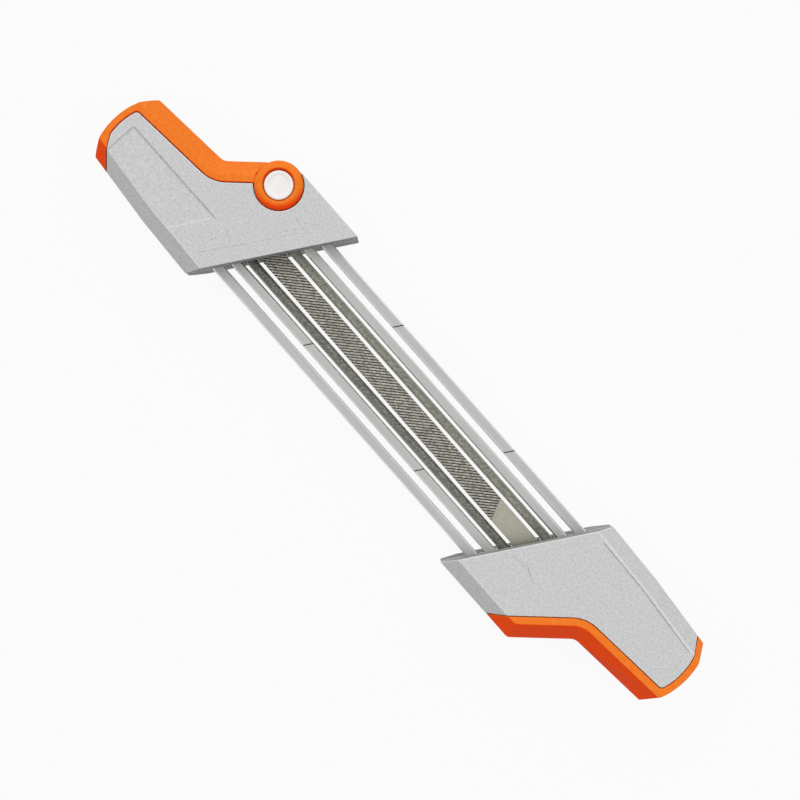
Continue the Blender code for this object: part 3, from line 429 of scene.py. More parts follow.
# Painted highlight: the rounded rims get a lighter, glossier grey that stands for the light they catch
RIM_HIGHLIGHT_NYLON = MouldedNylon("nylon_rim_painted_highlight", "#DADADA", 0.45, dark="#D2D2D2", light="#E2E2E2")
# Painted shade: the ends that the rails come out of get a darker, duller grey
END_SHADE_NYLON = MouldedNylon("nylon_end_face_painted_shade", "#9E9E9E", 0.7, dark="#969696", light="#A6A6A6")
# Painted shade deepens the orange on the faces turned away from the light
# The low index leaves the orange only a weak sheen, so that it stays saturated
ORANGE_NYLON = PaintedShadeNylon(
    "orange_nylon_painted_shade",
    "#F5781A",
    0.44,
    ior=1.2,
    dark="#F3761B",
    light="#F88429",
    cloud=1.4 * MM,
    grain_depth=0.012 * MM,
)
WHITE_ACETAL = MouldedNylon(
    "white_turned_acetal", "#F2EFEC", 0.32, dark="#F0EDEA", light="#F6F3F0", cloud=4.0 * MM, grain_depth=0.004 * MM
)
BLACK_NYLON = MouldedNylon("black_moulded_nylon", "#26262A", 0.5, dark="#222226", light="#2C2C30")
BLACK_RUBBER = MouldedNylon(
    "black_nitrile_rubber", "#1C1C1D", 0.78, dark="#191919", light="#232324", grain_depth=0.03 * MM
)
RAIL_STEEL = DrawnSteel("brushed_drawn_steel", "#C1C1C0", 0.6, 1.0)
# Painted highlight on the rails' upper edges
EDGE_HIGHLIGHT_STEEL = DrawnSteel("steel_edge_painted_highlight", "#E4E4E3", 0.6, 1.0, dark="#DFDFDE", light="#E9E9E8")
GROUND_HEEL = DrawnSteel(
    "ground_file_heel", "#AAA899", 0.4, 1.0, dark="#A29F90", light="#B2B0A2", streak=0.5 * MM, streak_length=0.9 * MM
)
LINE_STAIN = Finish("oxide_in_scribed_lines", "#3C3B39", 0.7, 0.3)
# Between the flat file's teeth, an oil film evens out the steel; on the rails' edges over the files the same finish
# is painted shade
OIL_AND_PAINTED_SHADE_STEEL = CutFileSteel("oiled_steel_and_painted_shade", "#A7A399", 0.45, 1.0)
# The teeth's flat tops are patchy, worn bright in some places and filled with filings in others
LAND_STEEL = CutFileSteel("bright_tooth_lands", "#A7A399", 0.45, 1.0, dark="#726F68", light="#CDC9BF", stain=1.1 * MM)
ZINC_PLATE = PlatedSteel("zinc_plated_steel", "#A8AAAC", 0.3, 1.0)
PAPER = StudioPaper("white_paper_floor", "#C4C4C4", 0.9)


# Mesh work


def cad_mesh(node: str) -> EditMesh:
    """A welded copy of a CAD node's mesh, with its flat faces made whole.

    Args:
        node: The CAD node's name.

    Returns:
        The copy, to change freely.
    """
    mesh = bmesh.new()
    mesh.from_mesh(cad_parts[node].data)
    for layer in list(mesh.loops.layers.uv):
        mesh.loops.layers.uv.remove(layer)
    bmesh.ops.remove_doubles(mesh, verts=mesh.verts, dist=WELD)
    merge_flats(mesh)
    paint(mesh, 0)
    return mesh


def merge_flats(mesh: EditMesh) -> None:
    """Makes each flat face one face again, with no fold left in its plane.

    Args:
        mesh: A mesh of triangles.
    """
    for edge in mesh.edges[:]:
        if edge.is_valid and len(edge.link_faces) == 2 and edge.calc_face_angle(0.0) > FOLD_ANGLE:
            bmesh.ops.dissolve_faces(mesh, faces=list(edge.link_faces), use_verts=False)
    bmesh.ops.dissolve_limit(mesh, angle_limit=FLAT_ANGLE, verts=mesh.verts, edges=mesh.edges)


def outer_edges(mesh: EditMesh) -> list[Edge]:
    """The convex edges whose two faces both look out into the open.

    Args:
        mesh: A closed mesh.

    Returns:
        The edges that a hand or the eye meets from outside.
    """
    tree = BVHTree.FromBMesh(mesh)
    lift = 0.05 * MM
    found = []
    for edge in mesh.edges:
        if len(edge.link_faces) != 2 or not edge.is_convex:
            continue
        if not EDGE_ANGLE < edge.calc_face_angle(0.0) < BLADE_ANGLE:
            continue
        middle = (edge.verts[0].co + edge.verts[1].co) / 2
        if all(tree.ray_cast(middle + face.normal * lift, face.normal)[0] is None for face in edge.link_faces):
            found.append(edge)
    return found


def inside_out(mesh: EditMesh, tree: BVHTree) -> list[Vector]:
    """Finds faces that a rounding has turned over, where its strips overlap.

    Args:
        mesh: The rounded mesh.
        tree: The surface before its rounding.

    Returns:
        The faces' centres.
    """
    faces = [(face.calc_center_median(), face.normal) for face in mesh.faces]
    return [centre for centre, normal in faces if normal.dot(tree.find_nearest(centre)[1]) < TURNED_OVER]


def near_spot(edge: Edge, spots: Sequence[Vector], reach: float) -> bool:
    """Tells the edges beside spoilt spots from the others.

    Args:
        edge: The edge.
        spots: The spoilt spots.
        reach: How near to a spot the edge's line has to pass; one of its ends may be twice as far.

    Returns:
        Whether the edge is beside one.
    """
    ends = [vert.co for vert in edge.verts]
    beside = any((geometry.intersect_point_line(spot, *ends)[0] - spot).length < reach for spot in spots)
    return beside and any(min((end - spot).length for end in ends) < reach * 2 for spot in spots)


def soften(
    mesh: EditMesh, radius: float, segments: int = 3, rim: int = -1, crisp: Callable[[Edge], bool] | None = None
) -> EditMesh:
    """Rounds the outer edges, and leaves those alone that have no room for it.

    Args:
        mesh: A closed mesh; it is used up.
        radius: How far the rounding reaches from each edge.
        segments: Facets in the rounding.
        rim: The finish's number for the rounding, or -1 for that of the faces beside it.
        crisp: A test that picks the edges to leave as they are.

    Returns:
        The new mesh.
    """
    tree = BVHTree.FromBMesh(mesh)
    spoilt: list[Vector] = []
    for attempt in range(1, SOFTEN_TRIES + 1):
        trial = mesh.copy()
        edges = [edge for edge in outer_edges(trial) if not (crisp and crisp(edge))]
        edges = [edge for edge in edges if not near_spot(edge, spoilt, radius * attempt)]
        bmesh.ops.bevel(
            trial,
            geom=edges,
            offset=radius,
            segments=segments,
            profile=0.5,
            affect="EDGES",
            clamp_overlap=False,
            material=rim,
        )
        turned_over = inside_out(trial, tree)
        if not turned_over or attempt == SOFTEN_TRIES:
            break
        spoilt += turned_over
        trial.free()
    LOG.info("rounded %d edges in %d tries, %d faces turned over", len(edges), attempt, len(turned_over))
    mesh.free()
    return trial


def add_faces(mesh: EditMesh, rings: Sequence[Sequence[Sequence[float]]], capped: bool = True) -> list[Face]:
    """Skins rings of points into the mesh.

    Args:
        mesh: The mesh to add to.
        rings: Rings of as many points each.
        capped: Whether the first and last ring are closed off, or joined to each other.

    Returns:
        The new faces.
    """
    loops = [[mesh.verts.new(point) for point in ring] for ring in rings]
    made = []
    for low, high in zip(loops, loops[1:] if capped else loops[1:] + loops[:1]):
        for index in range(len(low)):
            after = (index + 1) % len(low)
            made.append(mesh.faces.new((low[index], low[after], high[after], high[index])))
    if capped:
        made += [mesh.faces.new(loops[0][::-1]), mesh.faces.new(loops[-1])]
    bmesh.ops.recalc_face_normals(mesh, faces=made)
    return made


def add_prism(
    mesh: EditMesh, low_plan: Sequence[Point], high_plan: Sequence[Point], low: float, high: float
) -> list[Face]:
    """Adds a solid between an outline in plan at the lower height and one at the upper height."""
    return add_faces(mesh, [[(x, y, low) for x, y in low_plan], [(x, y, high) for x, y in high_plan]])


def strip(points: Sequence[Point], width: float) -> list[Point]:
    """The outline of a strip of even width along a line in plan.

    Args:
        points: The line.
        width: The strip's width.

    Returns:
        The outline, anticlockwise from the start of its right-hand side.
    """
    line = [Vector(point) for point in points]
    left, right = [], []
    for index, point in enumerate(line):
        ways = [(line[i + 1] - line[i]).normalized() for i in (index - 1, index) if 0 <= i < len(line) - 1]
        way = sum(ways, Vector((0, 0))).normalized()
        side = Vector((-way.y, way.x)) * width / 2 / max(way.dot(ways[0]), SHARPEST_MITRE)
        left.append(tuple(point + side))
        right.append(tuple(point - side))
    return right + left[::-1]


def turned(profile: Sequence[Point], centre: Point, capped: bool = True) -> EditMesh:
    """A turned solid about a vertical axis.

    Args:
        profile: Points as (radius, height).
        centre: The axis in plan.
        capped: Whether its ends are closed by flat faces, or the profile is a closed ring.

    Returns:
        The new mesh.
    """
    turns = [math.tau * step / TURNED_FACETS for step in range(TURNED_FACETS)]
    rings = []
    for reach, height in profile:
        rings.append([(centre[0] + reach * math.cos(t), centre[1] + reach * math.sin(t), height) for t in turns])
    mesh = bmesh.new()
    add_faces(mesh, rings, capped)
    return mesh


def plain(mesh: EditMesh, name: str) -> bpy.types.Mesh:
    """Turns an edit mesh into a plain one.

    Args:
        mesh: The edit mesh; it is used up.
        name: The plain mesh's name.

    Returns:
        The plain mesh.
    """
    data = bpy.data.meshes.new(name)
    mesh.to_mesh(data)
    mesh.free()
    return data


def merge(mesh: EditMesh, other: EditMesh) -> None:
    """Adds another edit mesh, which is used up, to the first."""
    mesh.from_mesh(plain(other, "merged"))


def temporary(mesh: EditMesh | bpy.types.Mesh, name: str = "draft") -> bpy.types.Object:
    """Puts a mesh into an object for a modifier to work on.

    Args:
        mesh: The mesh; an edit mesh is used up.
        name: The object's name.

    Returns:
        The object, linked into the scene.
    """
    made = bpy.data.objects.new(name, plain(mesh, name) if isinstance(mesh, EditMesh) else mesh)
    bpy.context.scene.collection.objects.link(made)
    return made


def evaluated(draft: bpy.types.Object) -> bpy.types.Mesh:
    """The plain mesh that an object's modifiers give. The object is removed.

    Args:
        draft: The object.

    Returns:
        Its evaluated mesh.
    """
    graph = bpy.context.evaluated_depsgraph_get()
    data = bpy.data.meshes.new_from_object(draft.evaluated_get(graph), preserve_all_data_layers=True, depsgraph=graph)
    bpy.data.objects.remove(draft)
    return data


def carve(mesh: EditMesh, cutter: EditMesh) -> EditMesh:
    """Cuts one closed mesh out of another.

    Args:
        mesh: The piece; it is used up.
        cutter: What is cut away; it is used up.

    Returns:
        The new mesh.
    """
    draft, tool = temporary(mesh), temporary(cutter, "carving_helper")
    change = draft.modifiers.new("carve", "BOOLEAN")
    change.operation, change.object, change.solver = "DIFFERENCE", tool, "MANIFOLD"
    result = bmesh.new()
    result.from_mesh(evaluated(draft))
    bpy.data.objects.remove(tool)
    merge_flats(result)
    return result


def paint(mesh: EditMesh, index: int, where: Callable[[Vector, Vector], bool] | None = None) -> None:
    """Gives all faces, or those that a test picks, one of the piece's finishes.

    Args:
        mesh: The mesh.
        index: The finish's number.
        where: A test of a face's centre and normal.
    """
    for face in mesh.faces:
        if where is None or where(face.calc_center_median(), face.normal):
            face.material_index = index


def mark_sharp(data: bpy.types.Mesh) -> int:
    """Shades the faces smoothly, but for the edges between steeply turned ones.

    Args:
        data: The mesh.

    Returns:
        How many edges don't lie between two faces.
    """
    mesh = bmesh.new()
    mesh.from_mesh(data)
    for face in mesh.faces:
        face.smooth = True
    for edge in mesh.edges:
        edge.smooth = edge.calc_face_angle(math.pi) < SHARP_ANGLE
    open_edges = sum(len(edge.link_faces) != 2 for edge in mesh.edges)
    mesh.to_mesh(data)
    mesh.free()
    return open_edges


def hand_over(
    name: str,
    mesh: EditMesh | bpy.types.Mesh,
    finishes: Sequence[Finish],
    nodes: Iterable[str],
    body: Body = Body.FRAME,
) -> None:
    """Shades a finished mesh, and puts it on its body in place of its CAD nodes.

    Args:
        name: The piece's name.
        mesh: Its mesh, in place; an edit mesh is used up.
        finishes: Its finishes, in the order of its faces' numbers.
        nodes: The CAD nodes that it stands for.
        body: The CAD body that it rides on.
    """
    draft = temporary(mesh, name + "_draft")
    open_edges = mark_sharp(draft.data)
    weighting = draft.modifiers.new("weighted_normals", "WEIGHTED_NORMAL")
    weighting.keep_sharp = True
    data = evaluated(draft)
    data.name = name
    # A grown mesh keeps the slots of its recipe, so finishes take the place of what is there
    while len(data.materials) < len(finishes):
        data.materials.append(None)
    for index, finish in enumerate(finishes):
        data.materials[index] = finish.make()
    piece = bpy.data.objects.new(name, data)
    bpy.context.scene.collection.objects.link(piece)
    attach(piece, body.value)
    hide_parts(*nodes)
    LOG.info("%s: %d faces on %s, %d open edges", name, len(data.polygons), body.value, open_edges)


def nodes_named(start: str = "", part: str = "", end: str = "") -> list[str]:
    """The CAD nodes whose names start, go on and end in a given way, in order."""
    return [node for node in sorted(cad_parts) if node.startswith(start) and part in node and node.endswith(end)]


class NodeRecipe(TreeWork):
    """A Geometry Nodes tree with named inputs, grown once into a plain mesh."""

    def __init__(self, name: str, sizes: dict[str, float | int], finish: Finish) -> None:
        """Starts the tree.

        Args:
            name: The tree's name.
            sizes: Its named inputs and the values that this piece gives them.
            finish: The finish that Set Material gives.
        """
        super().__init__(bpy.data.node_groups.new(name, "GeometryNodeTree"))
        self.values: dict[str, object] = {**sizes, "Material": finish.make()}
        face = self.tree.interface
        face.new_socket("Geometry", in_out="INPUT", socket_type="NodeSocketGeometry")
        kinds = {float: "NodeSocketFloat", int: "NodeSocketInt"}
        self.sockets = {}
        for label, value in self.values.items():
            kind = kinds.get(type(value), "NodeSocketMaterial")
            self.sockets[label] = face.new_socket(label, in_out="INPUT", socket_type=kind)
        face.new_socket("Geometry", in_out="OUTPUT", socket_type="NodeSocketGeometry")
        self.start = self.tree.nodes.new("NodeGroupInput")

    def size(self, label: str) -> Socket:
        """The socket of a named input."""
        return self.start.outputs[label]

    def vector(self, x: Socket | float = 0.0, y: Socket | float = 0.0, z: Socket | float = 0.0) -> Socket:
        """A vector put together from sockets or numbers."""
        return self.add("ShaderNodeCombineXYZ", {0: x, 1: y, 2: z})

    def raised(self, part: Socket, height: Socket) -> Socket:
        """A part moved up by a height."""
        return self.add("GeometryNodeTransform", {"Geometry": part, "Translation": self.vector(z=height)})

    def cone(self, bottom: Socket, top: Socket, depth: Socket, height: Socket) -> Socket:
        """A blunt cone with the recipe's number of sides.

        Args:
            bottom: Radius of its foot.
            top: Radius of its top.
            depth: From foot to top.
            height: Height of its foot.

        Returns:
            The cone.
        """
        sizes = {"Vertices": self.size("Sides"), "Radius Top": top, "Radius Bottom": bottom, "Depth": depth}
        return self.raised(self.add("GeometryNodeMeshCone", sizes), height)

    def hanging_rod(self, radius: Socket, start: Socket, end: Socket) -> Socket:
        """A rod with the recipe's number of sides, hanging between two depths under the origin.

        Args:
            radius: Its radius.
            start: Depth of its upper end.
            end: Depth of its lower end.

        Returns:
            The rod.
        """
        sizes = {"Vertices": self.size("Sides"), "Radius": radius, "Depth": self.calc("SUBTRACT", end, start)}
        middle = self.calc("MULTIPLY", self.calc("ADD", start, end), -0.5)
        return self.raised(self.add("GeometryNodeMeshCylinder", sizes), middle)

    def on_points(self, part: Socket, points: Socket, turn: Socket | None = None) -> Socket:
        """A part stood on every point, and turned if asked."""
        inputs = {"Points": points, "Instance": part}
        return self.add("GeometryNodeInstanceOnPoints", inputs if turn is None else {**inputs, "Rotation": turn})

    def grow(self, geometry: Socket, seed: EditMesh) -> bpy.types.Mesh:
        """Ends the tree, and grows it on a seed mesh.

        Args:
            geometry: What the tree has made.
            seed: The mesh that the modifier starts from; it is used up.

        Returns:
            The plain mesh.
        """
        real = self.add("GeometryNodeRealizeInstances", {"Geometry": geometry})
        dressed = self.add("GeometryNodeSetMaterial", {"Geometry": real, "Material": self.size("Material")})
        add_node(self.tree, "NodeGroupOutput", {0: dressed})
        draft = temporary(seed)
        change = draft.modifiers.new("recipe", "NODES")
        change.node_group = self.tree
        for label, value in self.values.items():
            change[self.sockets[label].identifier] = value
        return evaluated(draft)


def points_mesh(points: Iterable[Sequence[float]]) -> EditMesh:
    """A mesh of loose points, for instances to stand on.

    Args:
        points: The places.

    Returns:
        The mesh.
    """
    mesh = bmesh.new()
    for point in points:
        mesh.verts.new(point)
    return mesh


# Sub-assemblies


@dataclass
class GuideRails:
    """The four steel bars that ride on the chain's cutters."""

    edge_round: float = 0.15 * MM
    top: float = 16.0 * MM
    mark_depth: float = 0.35 * MM
    slack: float = 0.03 * MM
    finishes: tuple[Finish, ...] = (RAIL_STEEL, LINE_STAIN, OIL_AND_PAINTED_SHADE_STEEL, EDGE_HIGHLIGHT_STEEL)
    # How far the normals of an upper edge and of the edge over the files point up, and at least aside
    edge_rise: Point = (0.2, 0.98)
    shade_rise: Point = (0.1, ALONG)
    edge_aside: float = 0.15
    # How far the normal of a mark's wall points along the bar, at least
    wall_along: float = 0.5

    def build(self) -> None:
        """Rounds the bars' edges and stains the marks scribed across two of them."""
        for node in nodes_named(end="_guide_rail"):
            mesh = soften(cad_mesh(node), self.edge_round, crisp=self.across)
            paint(mesh, 1, self.in_mark)
            # The upper edges get a painted highlight
            paint(mesh, 3, self.in_chamfer)
            # The inner rails' edges over the files get painted shade
            if "_inner_" in node:
                paint(mesh, 2, self.shaded_beside_files)
            hand_over("dressed_" + node, mesh, self.finishes, [node])

    def across(self, edge: Edge) -> bool:
        """Whether an edge runs across the bar, as a sawn end's or a scribed mark's does."""
        return abs((edge.verts[0].co - edge.verts[1].co).normalized().x) < ALONG

    def in_mark(self, centre: Vector, normal: Vector) -> bool:
        """Whether a face is the floor or a wall of a scribed mark."""
        inside = self.top - self.mark_depth - self.slack < centre.z < self.top - self.slack
        return inside and (normal.z > ALONG or abs(normal.x) > self.wall_along)

    def in_chamfer(self, centre: Vector, normal: Vector) -> bool:
        """Whether a face lies in an upper edge, which gets a painted highlight."""
        return self.edge_rise[0] < normal.z < self.edge_rise[1] and abs(normal.y) > self.edge_aside

    def shaded_beside_files(self, centre: Vector, normal: Vector) -> bool:
        """Whether a face lies in the lower half of the edge over the files, which gets painted shade."""
        inward = -normal.y * math.copysign(1.0, centre.y)
        return self.shade_rise[0] < normal.z < self.shade_rise[1] and inward > self.edge_aside


@dataclass
class RoundFiles:
    """The two round files, with teeth that wind round them."""

    # The real cut is about 0.6 mm and is drawn at 1.4 mm so that it shows
    teeth: int = 9
    points: int = 6
    tooth_depth: float = 0.09 * MM
    lead: float = 18.0 * MM
    step: float = 0.5 * MM
    # Dark tone, light tone and painted shade strip of the file at negative Y, then of the one at positive Y
    tones: tuple[tuple[str, str, Point], ...] = (
        ("#272724", "#B8B8AE", (-0.75, -0.2)),
        ("#52514B", "#C9C9BD", (-1.0, -0.7)),
    )

    def build(self) -> None:
        """Grows each file along its own axis."""
        for node in ("left_round_file", "right_round_file"):
            low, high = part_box(node)
            sizes = {
                "Length": high.x - low.x,
                "Radius": (high.z - low.z) / 2,
                "Depth": self.tooth_depth,
                "Teeth": self.teeth,
                "Points Per Tooth": self.points,
                "Turn Per Step": math.tau * self.step / self.lead,
                "Steps": round((high.x - low.x) / self.step),
            }
            start = Vector((low.x, (low.y + high.y) / 2, (low.z + high.z) / 2))
            steel = self.finish(node, start.y)
            recipe = NodeRecipe("spiral_cut_file", sizes, steel)
            mesh = recipe.grow(self.spiral(recipe), points_mesh([start]))
            hand_over("dressed_" + node, mesh, [steel], [node])

    def finish(self, node: str, axis: float) -> SpiralCutSteel:
        """The steel of one file, with painted shade darkest beside the flat file.

        Args:
            node: The CAD node's name.
            axis: Y of the file's axis.

        Returns:
            The finish.
        """
        dark, light, shade_strip = self.tones[axis > 0]
        name = "spiral_cut_steel_" + node.split("_")[0]
        return SpiralCutSteel(name, light, dark=dark, light=light, axis=axis, shade_strip=shade_strip)

    def spiral(self, recipe: NodeRecipe) -> Socket:
        """A toothed section run along X while it turns.

        Args:
            recipe: The tree.

        Returns:
            The file's geometry.
        """
        points, radius = recipe.size("Points Per Tooth"), recipe.size("Radius")
        around = recipe.calc("MULTIPLY", recipe.size("Teeth"), points)
        circle = recipe.add("GeometryNodeCurvePrimitiveCircle", {"Resolution": around, "Radius": radius}, "Curve")
        index = recipe.add("GeometryNodeInputIndex")
        ramp = recipe.calc("DIVIDE", recipe.calc("MODULO", index, points), points)
        share = recipe.calc("DIVIDE", recipe.calc("MULTIPLY", ramp, recipe.size("Depth")), radius)
        place = {0: recipe.add("GeometryNodeInputPosition"), "Scale": recipe.calc("SUBTRACT", 1.0, share)}
        pulled = recipe.add("ShaderNodeVectorMath", place, operation="SCALE")
        section = recipe.add("GeometryNodeSetPosition", {"Geometry": circle, "Position": pulled})
        line = recipe.add("GeometryNodeCurvePrimitiveLine", {"End": recipe.vector(recipe.size("Length"))})
        stations = recipe.add("GeometryNodeResampleCurve", {"Curve": line, "Count": recipe.size("Steps")})
        turn = recipe.calc("MULTIPLY", index, recipe.size("Turn Per Step"))
        twisted = recipe.add("GeometryNodeSetCurveTilt", {"Curve": stations, "Tilt": turn})
        sweep = {"Curve": twisted, "Profile Curve": section, "Fill Caps": True}
        return recipe.on_points(recipe.add("GeometryNodeCurveToMesh", sweep), recipe.size("Geometry"))


@dataclass
class FlatFile:
    """The flat file that lowers the depth gauges, cut with slanting teeth."""

    # The real cut is about 0.6 mm and is drawn at 1.1 mm so that it shows
    pitch: float = 1.64 * MM
    slant: float = 1.1
    tooth_height: float = 0.1 * MM
    # A tooth's section: along the file in shares of the pitch, then down in shares of its height
    section: tuple[Point, ...] = ((0.0, 1.3), (1.02, 1.3), (1.0, 1.0), (0.72, 1.0), (0.6, 0.0), (0.14, 0.0))
    half_width: float = 4.5 * MM
    side_skin: float = 0.08 * MM
    # Where the cut ends, as X in the middle and its change with Y
    heel_start: float = 59.55 * MM
    heel_slant: float = -0.466
    body_end: float = 89.75 * MM
    neck_end: float = 91.75 * MM
    tang_half: float = 2.5 * MM
    edge_round: float = 0.2 * MM
    finishes: tuple[Finish, ...] = (OIL_AND_PAINTED_SHADE_STEEL, GROUND_HEEL, LAND_STEEL)

    def heel_x(self, y: float) -> float:
        """X at which the teeth end."""
        return self.heel_start + self.heel_slant * y

    def build(self) -> None:
        """Joins a core, a smooth heel and the teeth of both faces."""
        low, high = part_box("flat_file")
        sizes = {
            "Pitch": self.pitch,
            "Count": round((self.heel_start + self.half_width * 4 - low.x) / self.pitch),
            "Start": low.x - self.half_width * 2,
            "Top": high.z,
            "Bottom": low.z,
        }
        recipe = NodeRecipe("slanting_teeth", sizes, OIL_AND_PAINTED_SHADE_STEEL)
        teeth = bmesh.new()
        teeth.from_mesh(recipe.grow(self.rows(recipe), self.tooth()))
        self.clip(teeth, low.x)
        middle = (low.z + high.z) / 2
        crest = (high.z - low.z) / 2 - self.tooth_height / 2
        paint(teeth, 0)
        paint(teeth, 2, lambda centre, normal: abs(centre.z - middle) > crest and abs(normal.z) > ALONG)
        mesh = self.core_and_heel(low, high)
        merge(mesh, teeth)
        hand_over("dressed_flat_file", mesh, self.finishes, ["flat_file"])

    def core_and_heel(self, low: Vector, high: Vector) -> EditMesh:
        """The file without its teeth.

        Args:
            low: The CAD file's lowest corner.
            high: Its highest corner.

        Returns:
            The mesh.
        """
        edge, inner = self.half_width, self.half_width - self.side_skin
        core = [(low.x, -inner), (self.heel_x(-inner), -inner), (self.heel_x(inner), inner), (low.x, inner)]
        mesh = bmesh.new()
        add_prism(mesh, core, core, low.z + self.tooth_height, high.z - self.tooth_height)
        side = [(self.body_end, -edge), (self.neck_end, -self.tang_half), (high.x, -self.tang_half)]
        other = [(x, -y) for x, y in reversed(side)]
        heel = [(self.heel_x(-edge), -edge), *side, *other, (self.heel_x(edge), edge)]
        smooth = bmesh.new()
        add_prism(smooth, heel, heel, low.z, high.z)
        smooth = soften(smooth, self.edge_round, 2)
        paint(smooth, 1)
        merge(mesh, smooth)
        return mesh

    def tooth(self) -> EditMesh:
        """One tooth across the file: steep in front and long behind.

        Returns:
            The mesh, with its top at Z 0 and its start at the file's lower edge.
        """
        section = [(self.pitch * along, -self.tooth_height * down) for along, down in self.section]
        rings = []
        for y in (0.0, self.half_width * 2):
            rings.append([(x + y * self.slant, y - self.half_width, z) for x, z in section])
        mesh = bmesh.new()
        add_faces(mesh, rings)
        return mesh

    def rows(self, recipe: NodeRecipe) -> Socket:
        """Repeats the tooth along both faces.

        Args:
            recipe: The tree.

        Returns:
            Both rows of teeth.
        """
        begin = recipe.vector(recipe.size("Start"), 0.0, recipe.size("Top"))
        row = {"Count": recipe.size("Count"), "Start Location": begin, "Offset": recipe.vector(recipe.size("Pitch"))}
        line = recipe.add("GeometryNodeMeshLine", row, mode="OFFSET")
        upper = recipe.on_points(recipe.size("Geometry"), line)
        height = recipe.vector(z=recipe.calc("ADD", recipe.size("Top"), recipe.size("Bottom")))
        flip = recipe.add("FunctionNodeInputVector", vector=(math.pi, 0, 0))
        lower = recipe.add("GeometryNodeTransform", {"Geometry": upper, "Translation": height, "Rotation": flip})
        return recipe.add("GeometryNodeJoinGeometry", {0: [upper, lower]})

    def clip(self, teeth: EditMesh, end: float) -> None:
        """Ends the teeth at the heel's slanting line and at the file's tip.

        Args:
            teeth: The teeth.
            end: X of the tip.
        """
        for x, way in ((self.heel_start, (1, -self.heel_slant, 0)), (end, (-1, 0, 0))):
            parts = teeth.verts[:] + teeth.edges[:] + teeth.faces[:]
            bmesh.ops.bisect_plane(teeth, geom=parts, plane_co=(x, 0, 0), plane_no=way, clear_outer=True, dist=WELD)
            bmesh.ops.holes_fill(teeth, edges=[edge for edge in teeth.edges if edge.is_boundary], sides=0)
        bmesh.ops.recalc_face_normals(teeth, faces=teeth.faces)


MouldedLine = tuple[float, float, tuple[Point, ...]]
GREY_FINISHES = (GREY_NYLON, RIM_HIGHLIGHT_NYLON, END_SHADE_NYLON)
# The handles' slanting ends, where the rails come out, and how near to them a face has to lie and to face
END_X = 77.75 * MM
END_SLOPE = math.tan(math.radians(30.0))
END_SLACK = 0.05 * MM
END_FACING = 0.99
# How far a line's cutter stands out of the face, as a share of the line's depth
CUTTER_LIFT = 0.2


def in_metres(points: Iterable[Point]) -> list[Point]:
    """Points given in millimetres."""
    return [(x * MM, y * MM) for x, y in points]


def carve_lines(mesh: EditMesh, lines: Sequence[MouldedLine], top: float) -> EditMesh:
    """Sinks fine lines in a handle's top face, one by one because some of them cross.

    Args:
        mesh: The shell; it is used up.
        lines: Width and depth of each line in millimetres, then its points in plan.
        top: Height of the top face.

    Returns:
        The new mesh.
    """
    for width, depth, points in lines:
        floor, mouth = (strip(in_metres(points), wide * MM) for wide in (width / 2, width))
        cutter = bmesh.new()
        add_prism(cutter, floor, mouth, top - depth * MM, top + depth * MM * CUTTER_LIFT)
        mesh = carve(mesh, cutter)
    return mesh


def paint_end_shade(mesh: EditMesh, side: float) -> None:
    """Gives the end that the rails come out of its painted shade.

    Args:
        mesh: The shell.
        side: 1 for the fixed handle and -1 for the latch handle.
    """
    out = Vector((-side, side * END_SLOPE, 0)).normalized()
    start = Vector((END_X * side, 0, 0))
    paint(mesh, 2, lambda centre, normal: normal.dot(out) > END_FACING and abs((centre - start).dot(out)) < END_SLACK)


@dataclass
class FixedHandle:
    """The handle that the rails and files are fixed in, with its orange band."""

    edge_round: float = 0.4 * MM
    top: float = 26.0 * MM
    # The low ridge between the upper line and the chamfer: its points in millimetres, then its sizes
    ridge: tuple[Point, ...] = ((97.5, 24.0), (121.0, 23.3), (140.0, 21.7))
    ridge_height: float = 0.3 * MM
    ridge_foot: float = 1.1 * MM
    ridge_crest: float = 0.5 * MM
    # Width and depth of each moulded line in millimetres, then its points in plan
    lines: tuple[MouldedLine, ...] = (
        (0.5, 0.4, ((96.7, 23.4), (120.6, 22.6), (152.6, 19.9))),
        (0.4, 0.3, ((76.8, -7.3), (83.2, -6.3))),
        (0.4, 0.3, ((83.7, -5.7), (90.4, -8.4))),
        (0.3, 0.1, ((98.7, 0.3), (115.6, 2.0), (121.0, 2.2))),
        (0.3, 0.12, ((152.2, 18.0), (153.6, 11.0), (153.9, 6.5))),
    )

    def build(self) -> None:
        """Makes the two shells and the band."""
        for part in ("top", "bottom"):
            node = f"fixed_handle_{part}_shell"
            # The rounded rims get the painted highlight
            mesh = soften(cad_mesh(node), self.edge_round, rim=1)
            if part == "top":
                mesh = carve_lines(mesh, self.lines, self.top)
                self.add_ridge(mesh)
            paint_end_shade(mesh, 1.0)
            hand_over(f"fixed_{part}_shell", mesh, GREY_FINISHES, [node])
        band = soften(cad_mesh("fixed_grip_band"), self.edge_round)
        hand_over("fixed_orange_band", band, [ORANGE_NYLON], ["fixed_grip_band"])

    def add_ridge(self, mesh: EditMesh) -> None:
        """Lays the ridge on the top shell, and gives it the rims' painted highlight.

        Args:
            mesh: The shell.
        """
        foot, crest = (strip(in_metres(self.ridge), width) for width in (self.ridge_foot, self.ridge_crest))
        for face in add_prism(mesh, foot, crest, self.top - self.ridge_height, self.top + self.ridge_height):
            face.material_index = 1


